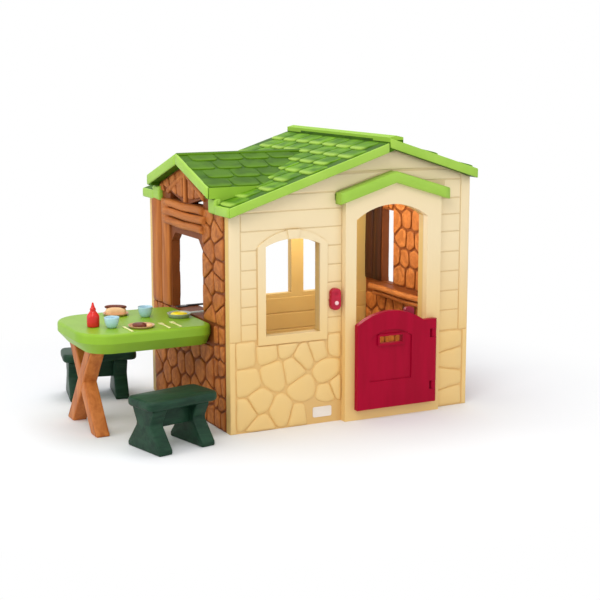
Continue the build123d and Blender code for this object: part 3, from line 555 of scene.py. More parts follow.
def cream(name, wall=False):
    """Cream wall plastic: paler at the top, yellower low down, with faint clouds, a fine grain and painted shade at
    stone and board edges.
    On the walls themselves the front face, seen only in the grooves, is painted shade, raised frames and the back are
    cream, and the inside is a deeper painted shade."""
    look = cabin_settings()
    paint = Paint(name, 0.5)
    high = paint.z.step(0.25, 0.85)
    cloud = paint.noise(7.0, 4.0).step(0.3, 0.75)
    proud = high.mix(look.cream_low, look.cream_high)
    groove_shade = high.mix(look.groove_shade_low, look.groove_shade_and_mottle_high)
    if wall:
        front, back, skin = float(HOUSE[1]), float(WALL_HIGH.y), 3 * MM
        # the wall's own face shows only in the grooves between boards and stones, so it gets the painted groove shade
        colour = paint.y.below(front - skin).mix(groove_shade, proud)
        colour = paint.y.above(back - skin).mix(colour, proud)
        inside = paint.y.above(front + skin) * paint.y.below(back - skin)
        # painted shade on the inner faces of the walls
        colour = inside.mix(colour, look.shade_gold)
    else:
        # painted shade at the edges of each stone and board
        edge = paint.attribute("rim").step(0.9, 1.0) * 0.3
        colour = edge.mix(proud, groove_shade)
        colour = (paint.attribute("tone") * 0.08).mix(colour, look.groove_shade_and_mottle_high)
    colour = (cloud * 0.10).mix(colour, look.groove_shade_and_mottle_high)
    return paint.finish(colour, paint.noise(420.0, 2.0), 0.12, 0.0006)


def shade_gold(name):
    """Inside of the cream walls: the same cream in a deeper yellow, as painted shade."""
    paint = Paint(name, 0.55)
    cloud = paint.noise(6.0, 4.0).step(0.3, 0.75)
    colour = (cloud * 0.3).mix(cabin_settings().shade_gold, rgb(208, 166, 86))
    return paint.finish(colour, paint.noise(420.0, 2.0), 0.12, 0.0006)


def stone_brown(name, grain=(1, 1, 1), shade="light"):
    """Orange-brown plastic streaked with darker brown, with painted shade at each stone's edge; shade may be joint,
    for the wall between the stones, or deep, a near-black brown of painted shade for the posts inside."""
    look = cabin_settings()
    paint = Paint(name, 0.5, specular=0.15)
    streak = paint.noise(26.0, 6.0, grain, 0.62, 0.6).step(0.32, 0.68)
    if shade == "joint":
        colour = (paint.noise(20.0, 4.0) * 0.5).mix(rgb(118, 60, 24), rgb(154, 84, 36))
    elif shade == "deep":
        # painted shade: near-black brown for the shaded rear part of the inner side wall
        colour = (streak * 0.5).mix(rgb(48, 24, 11), rgb(90, 48, 22))
    else:
        colour = streak.mix(look.stone_dark, look.stone_light)
        colour = (paint.noise(7.0, 3.0).step(0.35, 0.65) * 0.35).mix(colour, rgb(190, 108, 46))
        colour = (paint.attribute("tone") * 0.3).mix(colour, rgb(166, 90, 36))
        # painted shade at the edge of each stone and log
        colour = (paint.attribute("rim").step(0.86, 1.0) * 0.6).mix(colour, rgb(124, 64, 24))
    return paint.finish(colour, streak + paint.noise(300.0, 2.0) * 0.3, 0.3, 0.0012)


def roof_green(name, base, butt, dark, moulding=False):
    """Roof plastic: mottled green, each tab its own tone, with a painted highlight on its butt. The ridge cap and the
    right-hand eave are the trim's green, and so are the feet of the gable on the roof moulding itself."""
    paint = Paint(name, 0.5, specular=0.1)
    colour = paint.noise(15.0, 5.0).step(0.34, 0.62).mix(dark, base)
    colour = (paint.attribute("tone") * 0.5).mix(colour, dark)
    # painted highlight, strongest at each tab's butt
    colour = (paint.attribute("rim").step(0.62, 1.0) * 0.75).mix(colour, butt)
    left, front = (float(value) for value in HOUSE[:2])
    trim = paint.z.above((RIDGE_Z + ROOF_T + 0.5) * MM) + paint.x.above(left + (CABIN_W + 11.5) * MM)
    if moulding:
        slope = paint.x * SLOPE + (RIDGE_Z + ROOF_T + 3 - SLOPE * DOOR_X) * MM - SLOPE * left
        across = paint.y - front - GABLE_Y * MM
        foot = (across * across).above(((GABLE_HALF - 1) * MM) ** 2)
        trim = trim + foot * (paint.z - slope).above(0.0)
    colour = trim.mix(colour, rgb(150, 192, 62))
    return paint.finish(colour, paint.noise(260.0, 3.0), 0.2, 0.0008)


def smooth_plastic(name, base, second, roughness=0.35, size=8.0, grain=(1, 1, 1), strength=0.08, coat=0.0,
                   specular=0.3):
    """Plain moulded plastic: two close shades in soft clouds or streaks and a faint texture."""
    paint = Paint(name, roughness, coat, 0.0, specular)
    cloud = paint.noise(size, 4.0, grain).step(0.3, 0.7) * 0.6
    rough = paint.noise(60.0, 3.0, grain) * 0.12 + (roughness - 0.06)
    return paint.finish(cloud.mix(base, second), paint.noise(300.0, 2.0, grain), strength, 0.0006, rough)


def wood_plastic(name, base, dark, grain):
    """Plastic moulded with wood grain: fine streaks along the plank in colour and bump."""
    paint = Paint(name, 0.42, specular=0.18)
    streak = paint.noise(30.0, 5.0, grain, 0.6, 0.4).step(0.3, 0.7)
    return paint.finish(streak.mix(dark, base), streak, 0.35, 0.0012)


def metal(name, base, dark):
    """Zinc plate with faint brushed lines."""
    paint = Paint(name, 0.3, 0.0, 1.0)
    line = paint.noise(900.0, 2.0, (1, 1, 0.1))
    return paint.finish(line.mix(dark, base), line, 0.08, 0.0003)


# key: display colours of the two shades, roughness, and the other options of smooth_plastic
SMALL_PLASTICS = {
    "dark_red": ((150, 6, 46), (120, 0, 34), 0.4, {}),
    "inner": ((60, 60, 64), (44, 44, 48), 0.5, {}),
    "circuit": ((24, 110, 60), (14, 84, 44), 0.4, {"size": 120.0}),
    "button": ((250, 214, 214), (236, 186, 190), 0.25, {}),
    "plate": ((240, 232, 222), (226, 214, 200), 0.35, {}),
    "toy_red": ((226, 52, 44), (200, 32, 30), 0.25, {"size": 20.0}),
    "toy_plate": ((216, 170, 130), (196, 146, 106), 0.3, {"size": 20.0}),
    "toy_bread": ((244, 206, 160), (226, 174, 118), 0.5, {"size": 30.0, "strength": 0.2}),
    "toy_meat": ((124, 62, 44), (88, 38, 28), 0.35, {"size": 60.0, "strength": 0.3}),
    "toy_blue": ((188, 222, 234), (166, 206, 222), 0.2, {"size": 20.0}),
    "toy_cream": ((242, 240, 170), (230, 226, 148), 0.3, {"size": 20.0}),
    "toy_grey": ((178, 184, 176), (156, 164, 156), 0.28, {"size": 20.0}),
    "toy_yellow": ((250, 230, 40), (244, 214, 20), 0.25, {"size": 30.0}),
    "toy_black": ((44, 42, 44), (28, 28, 30), 0.3, {"size": 20.0}),
}
MADE = {}


def material(key):
    """The material of that key, made once."""
    cabin, table = cabin_settings(), table_settings()
    makers = {
        "cream": lambda: cream("cream_relief"),
        "cream_wall": lambda: cream("cream_wall", True),
        # the colour of the inside is painted shade
        "shade_gold": lambda: shade_gold("cream_inside_painted_shade"),
        "stone": lambda: stone_brown("stone_relief"),
        "stone_wall": lambda: stone_brown("stone_joint", shade="joint"),
        "log": lambda: stone_brown("log_relief", (1, 0.12, 1)),
        "post": lambda: stone_brown("post_relief", (1, 1, 0.1)),
        # the near-black of the inner posts is painted shade
        "deep": lambda: stone_brown("dark_post_painted_shade", (1, 1, 0.1), "deep"),
        "tab": lambda: roof_green("shingle", cabin.roof, cabin.roof_butt_highlight, rgb(70, 116, 4)),
        # the gable's tabs and ridge: roof green in painted shade, with painted highlights on the butts
        "tab_shaded": lambda: roof_green("gable_shingle", cabin.gable, rgb(94, 136, 18), rgb(60, 98, 4)),
        # the roof moulding, seen in the gaps between tabs: darker green as painted shade
        "roof": lambda: roof_green("roof_plastic_gap_shade", rgb(66, 108, 4), rgb(150, 190, 60), rgb(52, 90, 2), True),
        "trim": lambda: smooth_plastic("bright_green", cabin.trim, rgb(146, 190, 58), 0.4),
        "table": lambda: smooth_plastic("table_green", table.table, rgb(126, 170, 32), 0.4),
        "door": lambda: smooth_plastic("door_red", cabin.door, rgb(148, 0, 36), 0.42, 26.0, (1, 1, 0.15), 0.1,
                                       specular=0.1),
        "bell": lambda: smooth_plastic("bell_red", cabin.bell, rgb(160, 4, 40), 0.26, 20.0, coat=0.1),
        "leg": lambda: wood_plastic("leg_orange", table.leg, rgb(174, 96, 42), (1, 1, 0.14)),
        "bench": lambda: wood_plastic("bench_green", table.bench, rgb(18, 46, 32), (0.16, 1, 1)),
        "steel": lambda: metal("zinc", rgb(206, 206, 210), rgb(150, 152, 158)),
    }
    if key not in MADE:
        if key in SMALL_PLASTICS:
            base, second, roughness, options = SMALL_PLASTICS[key]
            MADE[key] = smooth_plastic(key, rgb(*base), rgb(*second), roughness, **options)
        else:
            MADE[key] = makers[key]()
    return MADE[key]


def coat_nodes(key, *names):
    """Gives CAD nodes their procedural material."""
    for name in names:
        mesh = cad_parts[name].data
        mesh.materials.clear()
        mesh.materials.append(material(key))


# ======== front and back walls
ROWS = [402, 472, 549, 627, 706, 789, 871, 950, 1021]     # grooves between the clapboards
BAY_ROWS = [358, 452, 542, 632, 722, 814, 893, 966]       # and those right of the door
WINDOW_X, WINDOW_HALF, SPRING_Z, ARCH_RISE = 298.0, 167.0, 802.0, 66.0
KEY_HALF, KEY_LOW = 34.0, 826.0                           # keystone: half-width with its gap, and foot
ROOF_GAP, SIDING_END = 4.0, 1148
FRONT_SEEDS = [(67, 349), (78, 219), (78, 94), (212, 246), (132, 128), (242, 73), (350, 312), (182, 352),
               (351, 163), (463, 232), (496, 362), (469, 128), (332, 43), (300, 262), (398, 52), (443, 52),
               (488, 52), (519, 149), (150, 20), (268, 362), (424, 340)]
PLAIN_SEEDS = range(14, 17)                               # without stones, to keep the blank plate's place clear
BAY_SEEDS = [(1094, 308), (1109, 222), (1092, 132), (1106, 42)]


def roof_x(v, side):
    """House x where the roof comes down to height v, left (-1) or right (1) of the ridge."""
    return DOOR_X + side * (RIDGE_Z - ROOF_GAP - v) / SLOPE


def pediment_x(v, side):
    """House x where the top of the pediment comes down to height v."""
    return DOOR_X + side * (PED_PEAK + PED_T + ROOF_GAP - v) / PED_FALL


def roof_edges(v):
    """Limits of boards that reach from slope to slope."""
    return np.maximum(56, roof_x(v, -1)), np.minimum(SIDING_END, roof_x(v, 1))


def front_edges(v):
    """Limits of the siding left of the door bay."""
    beside = np.where(v < PED_END + PED_T, DOOR_X - PED_HALF - 3, pediment_x(v, -1))
    return roof_edges(v)[0], np.where(v < PED_END - 2, BAY_LEFT - 2.5, beside)


def window_edges(v, gap=3.0):
    """Edges of the front window's frame, an arc on two uprights, and of its keystone, with a gap round them."""
    big = (WINDOW_HALF ** 2 + ARCH_RISE ** 2) / (2 * ARCH_RISE)
    arc = np.sqrt(np.maximum(big ** 2 - (v - (SPRING_Z + ARCH_RISE - big)) ** 2, 0))
    half = gap + np.where(v < SPRING_Z, WINDOW_HALF, np.where(v < SPRING_Z + ARCH_RISE, arc, 0))
    half = np.maximum(half, np.where(v > KEY_LOW, KEY_HALF, 0))
    return WINDOW_X - half, WINDOW_X + half


def from_floor(low):
    """Ends of an upright board, from height low to just under the roof."""
    return lambda v: (low, roof_z(v) - 2)


def siding(shells, place, rows, ends, rng, thick, window=None, gap=3.0):
    """Clapboards between the groove heights in rows. ends are their limits, and window(v), if given, is the pair of
    edges of an opening to stay out of."""
    for low, high in zip(rows, rows[1:]):
        spans = [ends]
        if window is not None and low < SPRING_Z + ARCH_RISE:
            spans = [lambda v: (ends(v)[0], window(v)[0]), lambda v: (window(v)[1], ends(v)[1])]
        for span in spans:
            plank(shells, place, span, low + gap / 2, high - gap / 2, thick, rng.uniform(0, 1))


class PLAYHOUSE_OT_front(bpy.types.Operator):
    """Siding, corner strips and stones of the front wall."""
    bl_idname = "playhouse.front"
    bl_label = "Front wall"

    def execute(self, context):
        look = context.scene.playhouse_cabin
        thick, deep = look.siding_thick / MM, look.cream_stone / MM
        rng = np.random.default_rng(4)
        boards = Shells()
        siding(boards, FRONT, ROWS, front_edges, rng, thick, window_edges)
        plank(boards, FRONT, front_edges, 1023.5, 1096, thick, 0.4)
        plank(boards, FRONT, lambda v: (pediment_x(v, 1), roof_edges(v)[1]), 1053.5, 1096, thick, 0.6)
        plank(boards, FRONT, roof_edges, 1106, 1184, thick, 0.5)
        siding(boards, FRONT, BAY_ROWS, (BAY_RIGHT + 3, SIDING_END), rng, thick)
        plank(boards, FRONT, (1064, SIDING_END), 969, 1050, thick, 0.3)
        for ends, low, high in ((from_floor(402), 1, 52), ((1, 400), 1, 25),
                                (from_floor(358), 1152, 1199), ((1, 356), 1176, 1199)):
            plank(boards, FRONT.turned(), ends, low, high, STRIP_T, 0.4, SOFT)
        boards.build("front_siding", "cream_wall", "cream")

        rock = Shells()
        limits = np.tile([27.0, BAY_LEFT - 2, 2, 376], (len(FRONT_SEEDS), 1))
        limits[[0, 10]] = (27, 128, 2, 400), (468, BAY_LEFT - 2, 2, 400)     # two that rise beside the window
        keep = np.delete(np.arange(len(FRONT_SEEDS)), PLAIN_SEEDS)
        stones(rock, FRONT, FRONT_SEEDS, limits, deep, rng, 2.0, keep=keep, around=44, profile=DOME)
        stones(rock, FRONT, BAY_SEEDS, (1029, 1174, 2, 356), deep, rng, 2.0, profile=DOME)
        rock.build("front_stones", "cream_wall", "cream")
        coat_nodes("cream_wall", "front_wall")
        coat_nodes("plate", "blank_plate")
        return {"FINISHED"}


class PLAYHOUSE_OT_back(bpy.types.Operator):
    """Siding and stones outside the back wall, and its lines inside."""
    bl_idname = "playhouse.back"
    bl_label = "Back wall"

    def execute(self, context):
        look = context.scene.playhouse_cabin
        thick, deep = look.siding_thick / MM, look.cream_stone / MM
        rng = np.random.default_rng(9)
        boards = Shells()
        for ends in (446, 536), (994, SIDING_END):
            siding(boards, BACK, ROWS[:6], ends, rng, thick)
        for low, high in (974, 1045), (1047, 1118), (1120, 1184):
            plank(boards, BACK, roof_edges, low, high, thick, rng.uniform(0, 1))
        plank(boards, BACK, (446, SIDING_END), 873, 972, thick, 0.4)
        for low, high in (38.5, 54), (1150, 1161.5):
            plank(boards, BACK.turned(), from_floor(1), low, high, 3.2, 0.4, SOFT)
        boards.build("back_siding", "cream_wall", "cream")
        rock = Shells()
        limits = (446, SIDING_END, 2, 398)
        stones(rock, BACK, scatter(rng, *limits, 118, 104), limits, deep, rng, 2.0, profile=DOME)
        rock.build("back_stones", "cream_wall", "cream")
        inside = Shells()
        for low, high in (6, 76), (80, 158), (162, 240), (244, 322), (326, 404):
            plank(inside, BACK_IN, (446, 1158), low, high, 2.5, 0.5)
        # the inner boards take the painted shade colour of the inside
        inside.build("back_inner_boards", "cream_wall", "shade_gold")
        coat_nodes("cream_wall", "back_wall")
        return {"FINISHED"}


# ======== brown walls
# each field of stones: its place, the grid its seeds are scattered on, its limits and, if unusual, its gap
PATIO_STONES = (
    (PATIO, (40, 272, 462, 950, 116, 70, 0.1), (40, 272, 460, 950), 5.0),
    (PATIO, (40, 154, 4, 458, 58, 70), (40, 154, 3, 458), 6.0),
    (PATIO, (158, 868, 4, 356, 116, 100), (156, 868, 3, 358), 6.0),
    (PATIO, (664, 868, 362, 456, 70, 48), (664, 868, 361, 456), 6.0))
PATIO_INNER_STONES = (
    (PATIO_IN, (56, 270, 4, 950, 92, 87), (52, 272, 3, 950)),
    (PATIO_IN, (644, 866, 4, 950, 92, 87), (640, 868, 3, 950)),
    (PATIO_IN, (279, 635, 4, 384, 92, 87), (275, 637, 3, 384)))
SIDE_STONES = (
    (SIDE, (42, 594, 4, 1040, 86, 92), (42, 596, 4, 1052)),
    (SIDE, (712, 866, 4, 1040, 74, 92), (711, 868, 4, 1052)),
    (SIDE, (600, 708, 848, 1050, 60, 80), (598, 709, 846, 1052)),
    (SIDE, (600, 708, 4, 466, 100, 90), (598, 709, 3, 470)),
    (SIDE_IN, (42, 866, 4, 404, 92, 80), (42, 868, 3, 408)),
    (SIDE_IN, (42, 594, 474, 1040, 86, 92), (42, 596, 474, 1052)),
    (SIDE_IN, (600, 708, 848, 1050, 60, 80), (598, 709, 846, 1052)))
# each log or post: its place, ends, low and high side, thickness, tone, steps and wave
SHELF, LOWER = PATIO.at(CABIN_W - WALL_T - 60), PATIO.at(CABIN_W - WALL_T - 24)
POST = (18, (3.0, 7.0, 0.0))
PATIO_LOGS = ((PATIO, (246, 690), 834, 873, 24, 0.2, 16, (2.2, 9.0, 0.0)),
              (PATIO, (226, 704), 875, 914, 26, 0.5, 16, (2.0, 8.0, math.pi / 2)),
              (PATIO, (250, 684), 916, 953, 22, 0.3, 16, (2.2, 9.0, 0.0)))
PATIO_POSTS = ((PATIO.turned(), (459, 950), 646, 742, 17, 0.3, *POST),
               (PATIO.turned(), (459, 950), 742, 862, 20, 0.5, *POST),
               (PATIO.turned(), (955, 1112), 440, 468, 14, 0.3, 8, (0.0, 0.0, 0.0)))
SIDE_LOGS = ((SHELF, (176, 727), 440, 471, 14, 0.3, 16, (1.6, 10.0, 0.0)),
             (LOWER, (190, 712), 408, 440, 34, 0.6, 16, (1.6, 10.0, 0.0)))
# inner posts behind the side window, coloured as painted shade
SIDE_POSTS = ((SIDE_IN.turned(), (476, 1050), 712, 788, 16, 0.3, *POST),
              (SIDE_IN.turned(), (476, 1050), 790, 866, 18, 0.5, *POST))
STRUT_TURN = (0.423, 0.906)        # sine and cosine of the gable struts' fall, 25 degrees
WEDGE_Z, WEDGE_IN, WEDGE_RISE = 955, 43, 34 / 147      # the wedge-shaped gaps under the gable: foot, inner end, rise


def stone_fields(shells, fields, height, rng):
    """Stones on each field in turn."""
    for place, grid, limits, *gap in fields:
        stones(shells, place, scatter(rng, *grid), limits, height, rng, *gap)


def trunks(shells, rows):
    """Logs and posts: rounded boards that wander across by reach times sin(turn t + phase) at share t."""
    for place, ends, low, high, thick, tone, steps, (reach, turn, phase) in rows:
        plank(shells, place, ends, low, high, thick, tone, ROUND, steps,
              lambda t: reach * np.sin(turn * t + phase))


def gable_lines(side):
    """The two slanting limits of the stones in one half of the gable: the roof above and the wedge below."""
    above, under = math.hypot(1, GABLE_SLOPE), math.hypot(1, WEDGE_RISE)
    crown = GABLE_TOP - GABLE_T - 3 + side * GABLE_SLOPE * GABLE_Y
    foot = side * WEDGE_RISE * GABLE_Y + WEDGE_RISE * WEDGE_IN - WEDGE_Z - 4
    return ((side * GABLE_SLOPE / above, 1 / above, crown / above),
            (side * WEDGE_RISE / under, -1 / under, foot / under))


class PLAYHOUSE_OT_patio(bpy.types.Operator):
    """Stones, logs, posts and gable struts of the patio wall, outside and inside."""
    bl_idname = "playhouse.patio"
    bl_label = "Patio wall"

    def execute(self, context):
        deep = context.scene.playhouse_cabin.brown_stone / MM
        rng = np.random.default_rng(12)
        rock = Shells()
        stone_fields(rock, PATIO_STONES, deep, rng)
        for side in (-1, 1):
            seeds = [(GABLE_Y + side * y, z) for y, z in ((74, 1050), (150, 1034), (226, 1016), (286, 990))]
            low, high = sorted((GABLE_Y + side * 24, GABLE_Y + side * 312))
            stones(rock, PATIO, seeds, (low, high, 957, 1120), deep, rng, lines=gable_lines(side))
        stone_fields(rock, PATIO_INNER_STONES, deep, rng)
        rock.build("patio_stones", "stone_wall", "stone")
        logs, posts = Shells(), Shells()
        trunks(logs, PATIO_LOGS)
        logs.build("patio_logs", "stone_wall", "log")
        trunks(posts, PATIO_POSTS)
        sin, cos = STRUT_TURN
        for side in (-1, 1):
            strut = Plane((0, GABLE_Y + side * 12, 1104), (0, side * cos, -sin), (0, side * sin, cos), (-1, 0, 0))
            plank(posts, strut, (6, 230), -34, -8, 13, 0.6, ROUND, 10)
        posts.build("patio_posts", "stone_wall", "post")
        coat_nodes("stone_wall", "patio_wall")
        return {"FINISHED"}


class PLAYHOUSE_OT_side(bpy.types.Operator):
    """Stones of the right-hand wall on both faces, and its log mantel."""
    bl_idname = "playhouse.side"
    bl_label = "Right-hand wall"

    def execute(self, context):
        deep = context.scene.playhouse_cabin.brown_stone / MM
        rock, logs, posts = Shells(), Shells(), Shells()
        stone_fields(rock, SIDE_STONES, deep, np.random.default_rng(21))
        rock.build("side_stones", "stone_wall", "stone")
        trunks(logs, SIDE_LOGS)
        logs.build("side_mantel", "stone_wall", "log")
        trunks(posts, SIDE_POSTS)
        # the posts get the near-black of painted shade
        posts.build("side_posts", "stone_wall", "deep")
        coat_nodes("stone_wall", "side_wall")
        return {"FINISHED"}


# ======== roof
EAVES = -12.0, CABIN_W + 12                      # house x of the left and right eave
RAKES = -43, 951                                 # house y of the roof's front and back edge
TAB = np.array([(1.0, -1.0), (1.0, 0.35), (0.97, 0.8), (0.88, 1.0)])
TAB_HALF, TAB_HIGH, TAB_PITCH, TAB_FIRST = 62, 53, 132, 32
TAB_SHIFT = (-8, 46)                             # of even and odd rows
TAB_CLEAR = 44                                   # least distance from a tab's centre to a rake
LEFT_BUTTS, RIGHT_BUTTS = (-6, 78, 169, 266, 362, 460, 552, 645), (8, 103, 198, 293)
GABLE_BUTTS, GABLE_FIRST, GABLE_PITCH, GABLE_HIGH, GABLE_SHIFT = (4, 92, 180, 268), 21, 128, 48, (-6, 40)


def pitch(slope):
    """Cosine and sine of a roof's angle."""
    return 1 / math.hypot(1, slope), slope / math.hypot(1, slope)


def shingles(shells, place, centres, half_v, rng, thick, around=24, power=5.0):
    """Wedge tabs, thick at the butt (low v) and thin under the next row. Their outline is a superellipse,
    |u/a|^p + |v/b|^p = 1, as a radius in each direction."""
    centres = np.asarray(centres, float)
    turn = directions(around)
    outline = (np.abs(np.cos(turn) / TAB_HALF) ** power + np.abs(np.sin(turn) / half_v) ** power) ** (-1 / power)
    radius = np.tile(outline, (len(centres), 1)) * rng.uniform(0.97, 1.0, (len(centres), 1))
    # the last function gives rim 1 at the butt, where the material paints a highlight
    pads(shells, place, centres, radius, np.full(len(centres), thick), rng.uniform(0, 1, len(centres)), 1.0,
         lambda u, v, h: h * (0.56 - 0.44 * v / half_v), TAB, lambda v: 0.5 - 0.5 * v / half_v)


def main_places(butts, start, lift, keep):
    """Centres of the main roof's tabs. A row's butts lie at butt + start along the level and its centres lift above
    them on the slope; every other row is shifted, and keep(y, butt) leaves some tabs out."""
    cos = pitch(SLOPE)[0]
    centres = []
    for row, butt in enumerate(butts):
        for column in range(-1, 9):
            y = TAB_FIRST + column * TAB_PITCH + TAB_SHIFT[row % 2]
            if RAKES[0] + TAB_CLEAR < y < RAKES[1] - TAB_CLEAR and keep(y, butt):
                centres.append((y, (butt + start) / cos + lift))
    return centres


def clear_of_gable(y, butt):
    """Whether a tab of the left slope lies outside the gable's own roof."""
    above = gable_z(y) - (RIDGE_Z + ROOF_T - SLOPE * (DOOR_X - butt - 60))
    return not (abs(y - GABLE_Y) < GABLE_HALF - 60 and above > 12)


class PLAYHOUSE_OT_roof(bpy.types.Operator):
    """Shingles on every slope, bright rails along the rakes, eaves and gable, and the gable's ridge."""
    bl_idname = "playhouse.roof"
    bl_label = "Roof"

    def execute(self, context):
        thick = context.scene.playhouse_cabin.shingle_thick / MM
        rng = np.random.default_rng(33)
        cos, sin = pitch(SLOPE)
        left_x, right_x = EAVES
        low = float(roof_z(left_x))
        tabs = Shells()
        left = Plane((left_x, 0, low + ROOF_T), (0, 1, 0), (cos, 0, sin), (-sin, 0, cos))
        shingles(tabs, left, main_places(LEFT_BUTTS, 12, 52, clear_of_gable), TAB_HIGH, rng, thick)
        right = Plane((right_x, 0, float(roof_z(right_x)) + ROOF_T), (0, 1, 0), (-cos, 0, sin), (sin, 0, cos))
        shingles(tabs, right, main_places(RIGHT_BUTTS, 0, 54, lambda y, butt: True), TAB_HIGH, rng, thick)
        tabs.build("roof_shingles", "roof_green", "tab")

        rails = Shells()
        slopes = ((left_x, 1, -1, DOOR_X - 36 - left_x), (right_x, -1, 0.5, right_x - DOOR_X + 30))
        for y, out in zip(RAKES, (-1, 1)):
            for x, way, start, end in slopes:
                rake = Plane((x, y, float(roof_z(x))), (way * cos, 0, sin), (0, 0, 1), (0, out, 0))
                plank(rails, rake, (start, end / cos), 0.5, ROOF_T - 0.5, 7, 0.5, SOFT, 12)
        for ends in (RAKES[0], 100), (808, RAKES[1]):
            plank(rails, PATIO.at(left_x), ends, low + 1, low + ROOF_T, 8, 0.5, SOFT, 6)
        for ends in (90, 168), (740, 818):
            plank(rails, PATIO, ends, low + 1, low + 67, 20, 0.5, SOFT, 6)

        tabs = Shells()
        cos, sin = pitch(GABLE_SLOPE)
        foot_z = gable_z(GABLE_Y + GABLE_HALF)
        centres = [(x, butt / cos + 47) for row, butt in enumerate(GABLE_BUTTS)
                   for x in GABLE_FIRST + np.arange(6) * GABLE_PITCH + GABLE_SHIFT[row % 2]
                   if x < 242 + (butt + 40) * 1.05]
        for side in (-1, 1):
            foot = (0, GABLE_Y + side * GABLE_HALF, foot_z)
            slope = Plane(foot, (1, 0, 0), (0, -side * cos, sin), (0, side * sin, cos))
            shingles(tabs, slope, centres, GABLE_HIGH, rng, 5.0)
            rail = Plane((-45, *foot[1:]), (0, -side * cos, sin), (0, 0, -1), (-1, 0, 0))
            plank(rails, rail, (0, GABLE_HALF / cos), -2, 45, 8, 0.5, SOFT, 10)
        tabs.build("gable_shingles", "roof_green", "tab_shaded")
        rails.build("roof_rails", "trim_green", "trim")
        ridge = Shells()
        plank(ridge, LEVEL.at(0, GABLE_Y, GABLE_TOP - 5), (-44, 566), -20, 20, 10, 0.5, ROUND, 12)
        ridge.build("gable_ridge", "roof_green", "tab_shaded")
        # the mouldings take the darker green of painted shade in the gaps
        coat_nodes("roof", "roof_left", "roof_right")
        return {"FINISHED"}


class PLAYHOUSE_OT_pediment(bpy.types.Operator):
    """Green pediment over the door: a rounded bar that follows an upturned V."""
    bl_idname = "playhouse.pediment"
    bl_label = "Pediment"

    def execute(self, context):
        bar = Shells()
        loop = np.array([(0, 0), (0.0, 0.9), (0.04, 0.965), (0.12, 1.0), (0.8, 1.0), (0.93, 0.97), (1, 0.9), (1, 0)])
        plank(bar, lambda u, v, h: np.stack([u, -h, PED_PEAK - PED_FALL * np.abs(u - DOOR_X) + v], -1),
              (DOOR_X - PED_HALF, DOOR_X + PED_HALF), 0, PED_T, PED_OUT, 0.5, loop, 15)
        bar.build("pediment", "trim_green", "trim", replaces=("door_pediment",))
        return {"FINISHED"}


# ======== door, bell and fixings
class PLAYHOUSE_OT_door(bpy.types.Operator):
    """Finishes of the half door, its brackets, pins and handle."""
    bl_idname = "playhouse.door"
    bl_label = "Half door"

    def execute(self, context):
        coat_nodes("door", "door_panel", "hinge_bracket_upper", "hinge_bracket_lower")
        coat_nodes("dark_red", "door_handle")
        coat_nodes("steel", "hinge_pin_lower", "hinge_pin_upper")
        return {"FINISHED"}


class PLAYHOUSE_OT_bell(bpy.types.Operator):
    """Finishes of the door bell, inside and out."""
    bl_idname = "playhouse.bell"
    bl_label = "Door bell"

    def execute(self, context):
        coat_nodes("bell", "bell_cover")
        coat_nodes("button", "bell_button")
        coat_nodes("inner", "bell_base", "bell_speaker")
        coat_nodes("circuit", "bell_board")
        coat_nodes("steel", "bell_cells", "bell_screws", "button_spring", "back_screws", "table_screws")
        return {"FINISHED"}


# ======== table, benches and tableware
LEG_X, LEG_Y, LEG_FOOT, LEG_HEAD, LEG_WIDE, LEG_TOP = -493.5, 412.0, 200, 156, 80, 364
TABLEWARE_Z = 454.3                # the table top, and a hair above it
VIEW_TURN = math.radians(-27)      # how the food lies on its plates

# turned pieces as (radius, height)
BOTTLE = [(0, 0), (23, 0), (26, 2), (27, 6), (27, 44), (25, 52), (19, 60), (13, 68), (12, 72), (13, 74), (13, 78),
          (10, 82), (6, 94), (4, 103), (2.5, 105.5), (0, 106)]
PLATE = [(0, 0), (46, 0), (49, 1.5), (57, 9.5), (57.5, 11), (56, 11.2), (54, 10.4), (46, 3.4), (43, 3.0), (0, 3.0)]
CUP = [(0, 0), (15, 0), (18, 1.2), (25, 10), (30, 24), (32.5, 40), (33, 46), (32.4, 47), (31.4, 46.2), (30.4, 38),
       (27.6, 24), (22.4, 11), (16, 4), (0, 3)]
PAN = [(0, 0), (40, 0), (44, 1.5), (53, 17), (54, 19), (52.4, 19.2), (51, 17.6), (42, 4.4), (39, 3), (0, 3)]


def mirrored(*half):
    """A closed outline from the points of its upper half, in order of u."""
    return [*((u, -v) for u, v in half), *reversed(half)]


def toy(name, body, look, node, *parts):
    """One toy piece that stands for its CAD node: each part is a function and its arguments after the shells."""
    shells = Shells()
    for make, *arguments in parts:
        make(shells, *arguments)
    shells.build(name, look, look, body, (node,))


class PLAYHOUSE_OT_table(bpy.types.Operator):
    """Finish of the table, and its crossed leg as two planks with rounded edges."""
    bl_idname = "playhouse.table"
    bl_label = "Table"

    def execute(self, context):
        edge = context.scene.playhouse_table.leg_round / MM
        coat_nodes("table", "table_top")
        leg = Shells()
        for side, depth in ((-1, 65), (1, 61)):
            foot, top, wide = LEG_Y - side * LEG_FOOT, LEG_Y + side * LEG_HEAD, side * LEG_WIDE
            outline = rounded([(foot, 0), (foot + wide, 0), (top, LEG_TOP), (top - wide, LEG_TOP)], 7)
            prism(leg, PATIO.at(LEG_X), outline, -depth / 2, depth / 2, edge, 0.4 + 0.2 * side)
        leg.build("crossed_leg", "leg_orange", "leg", replaces=("table_leg",))
        return {"FINISHED"}


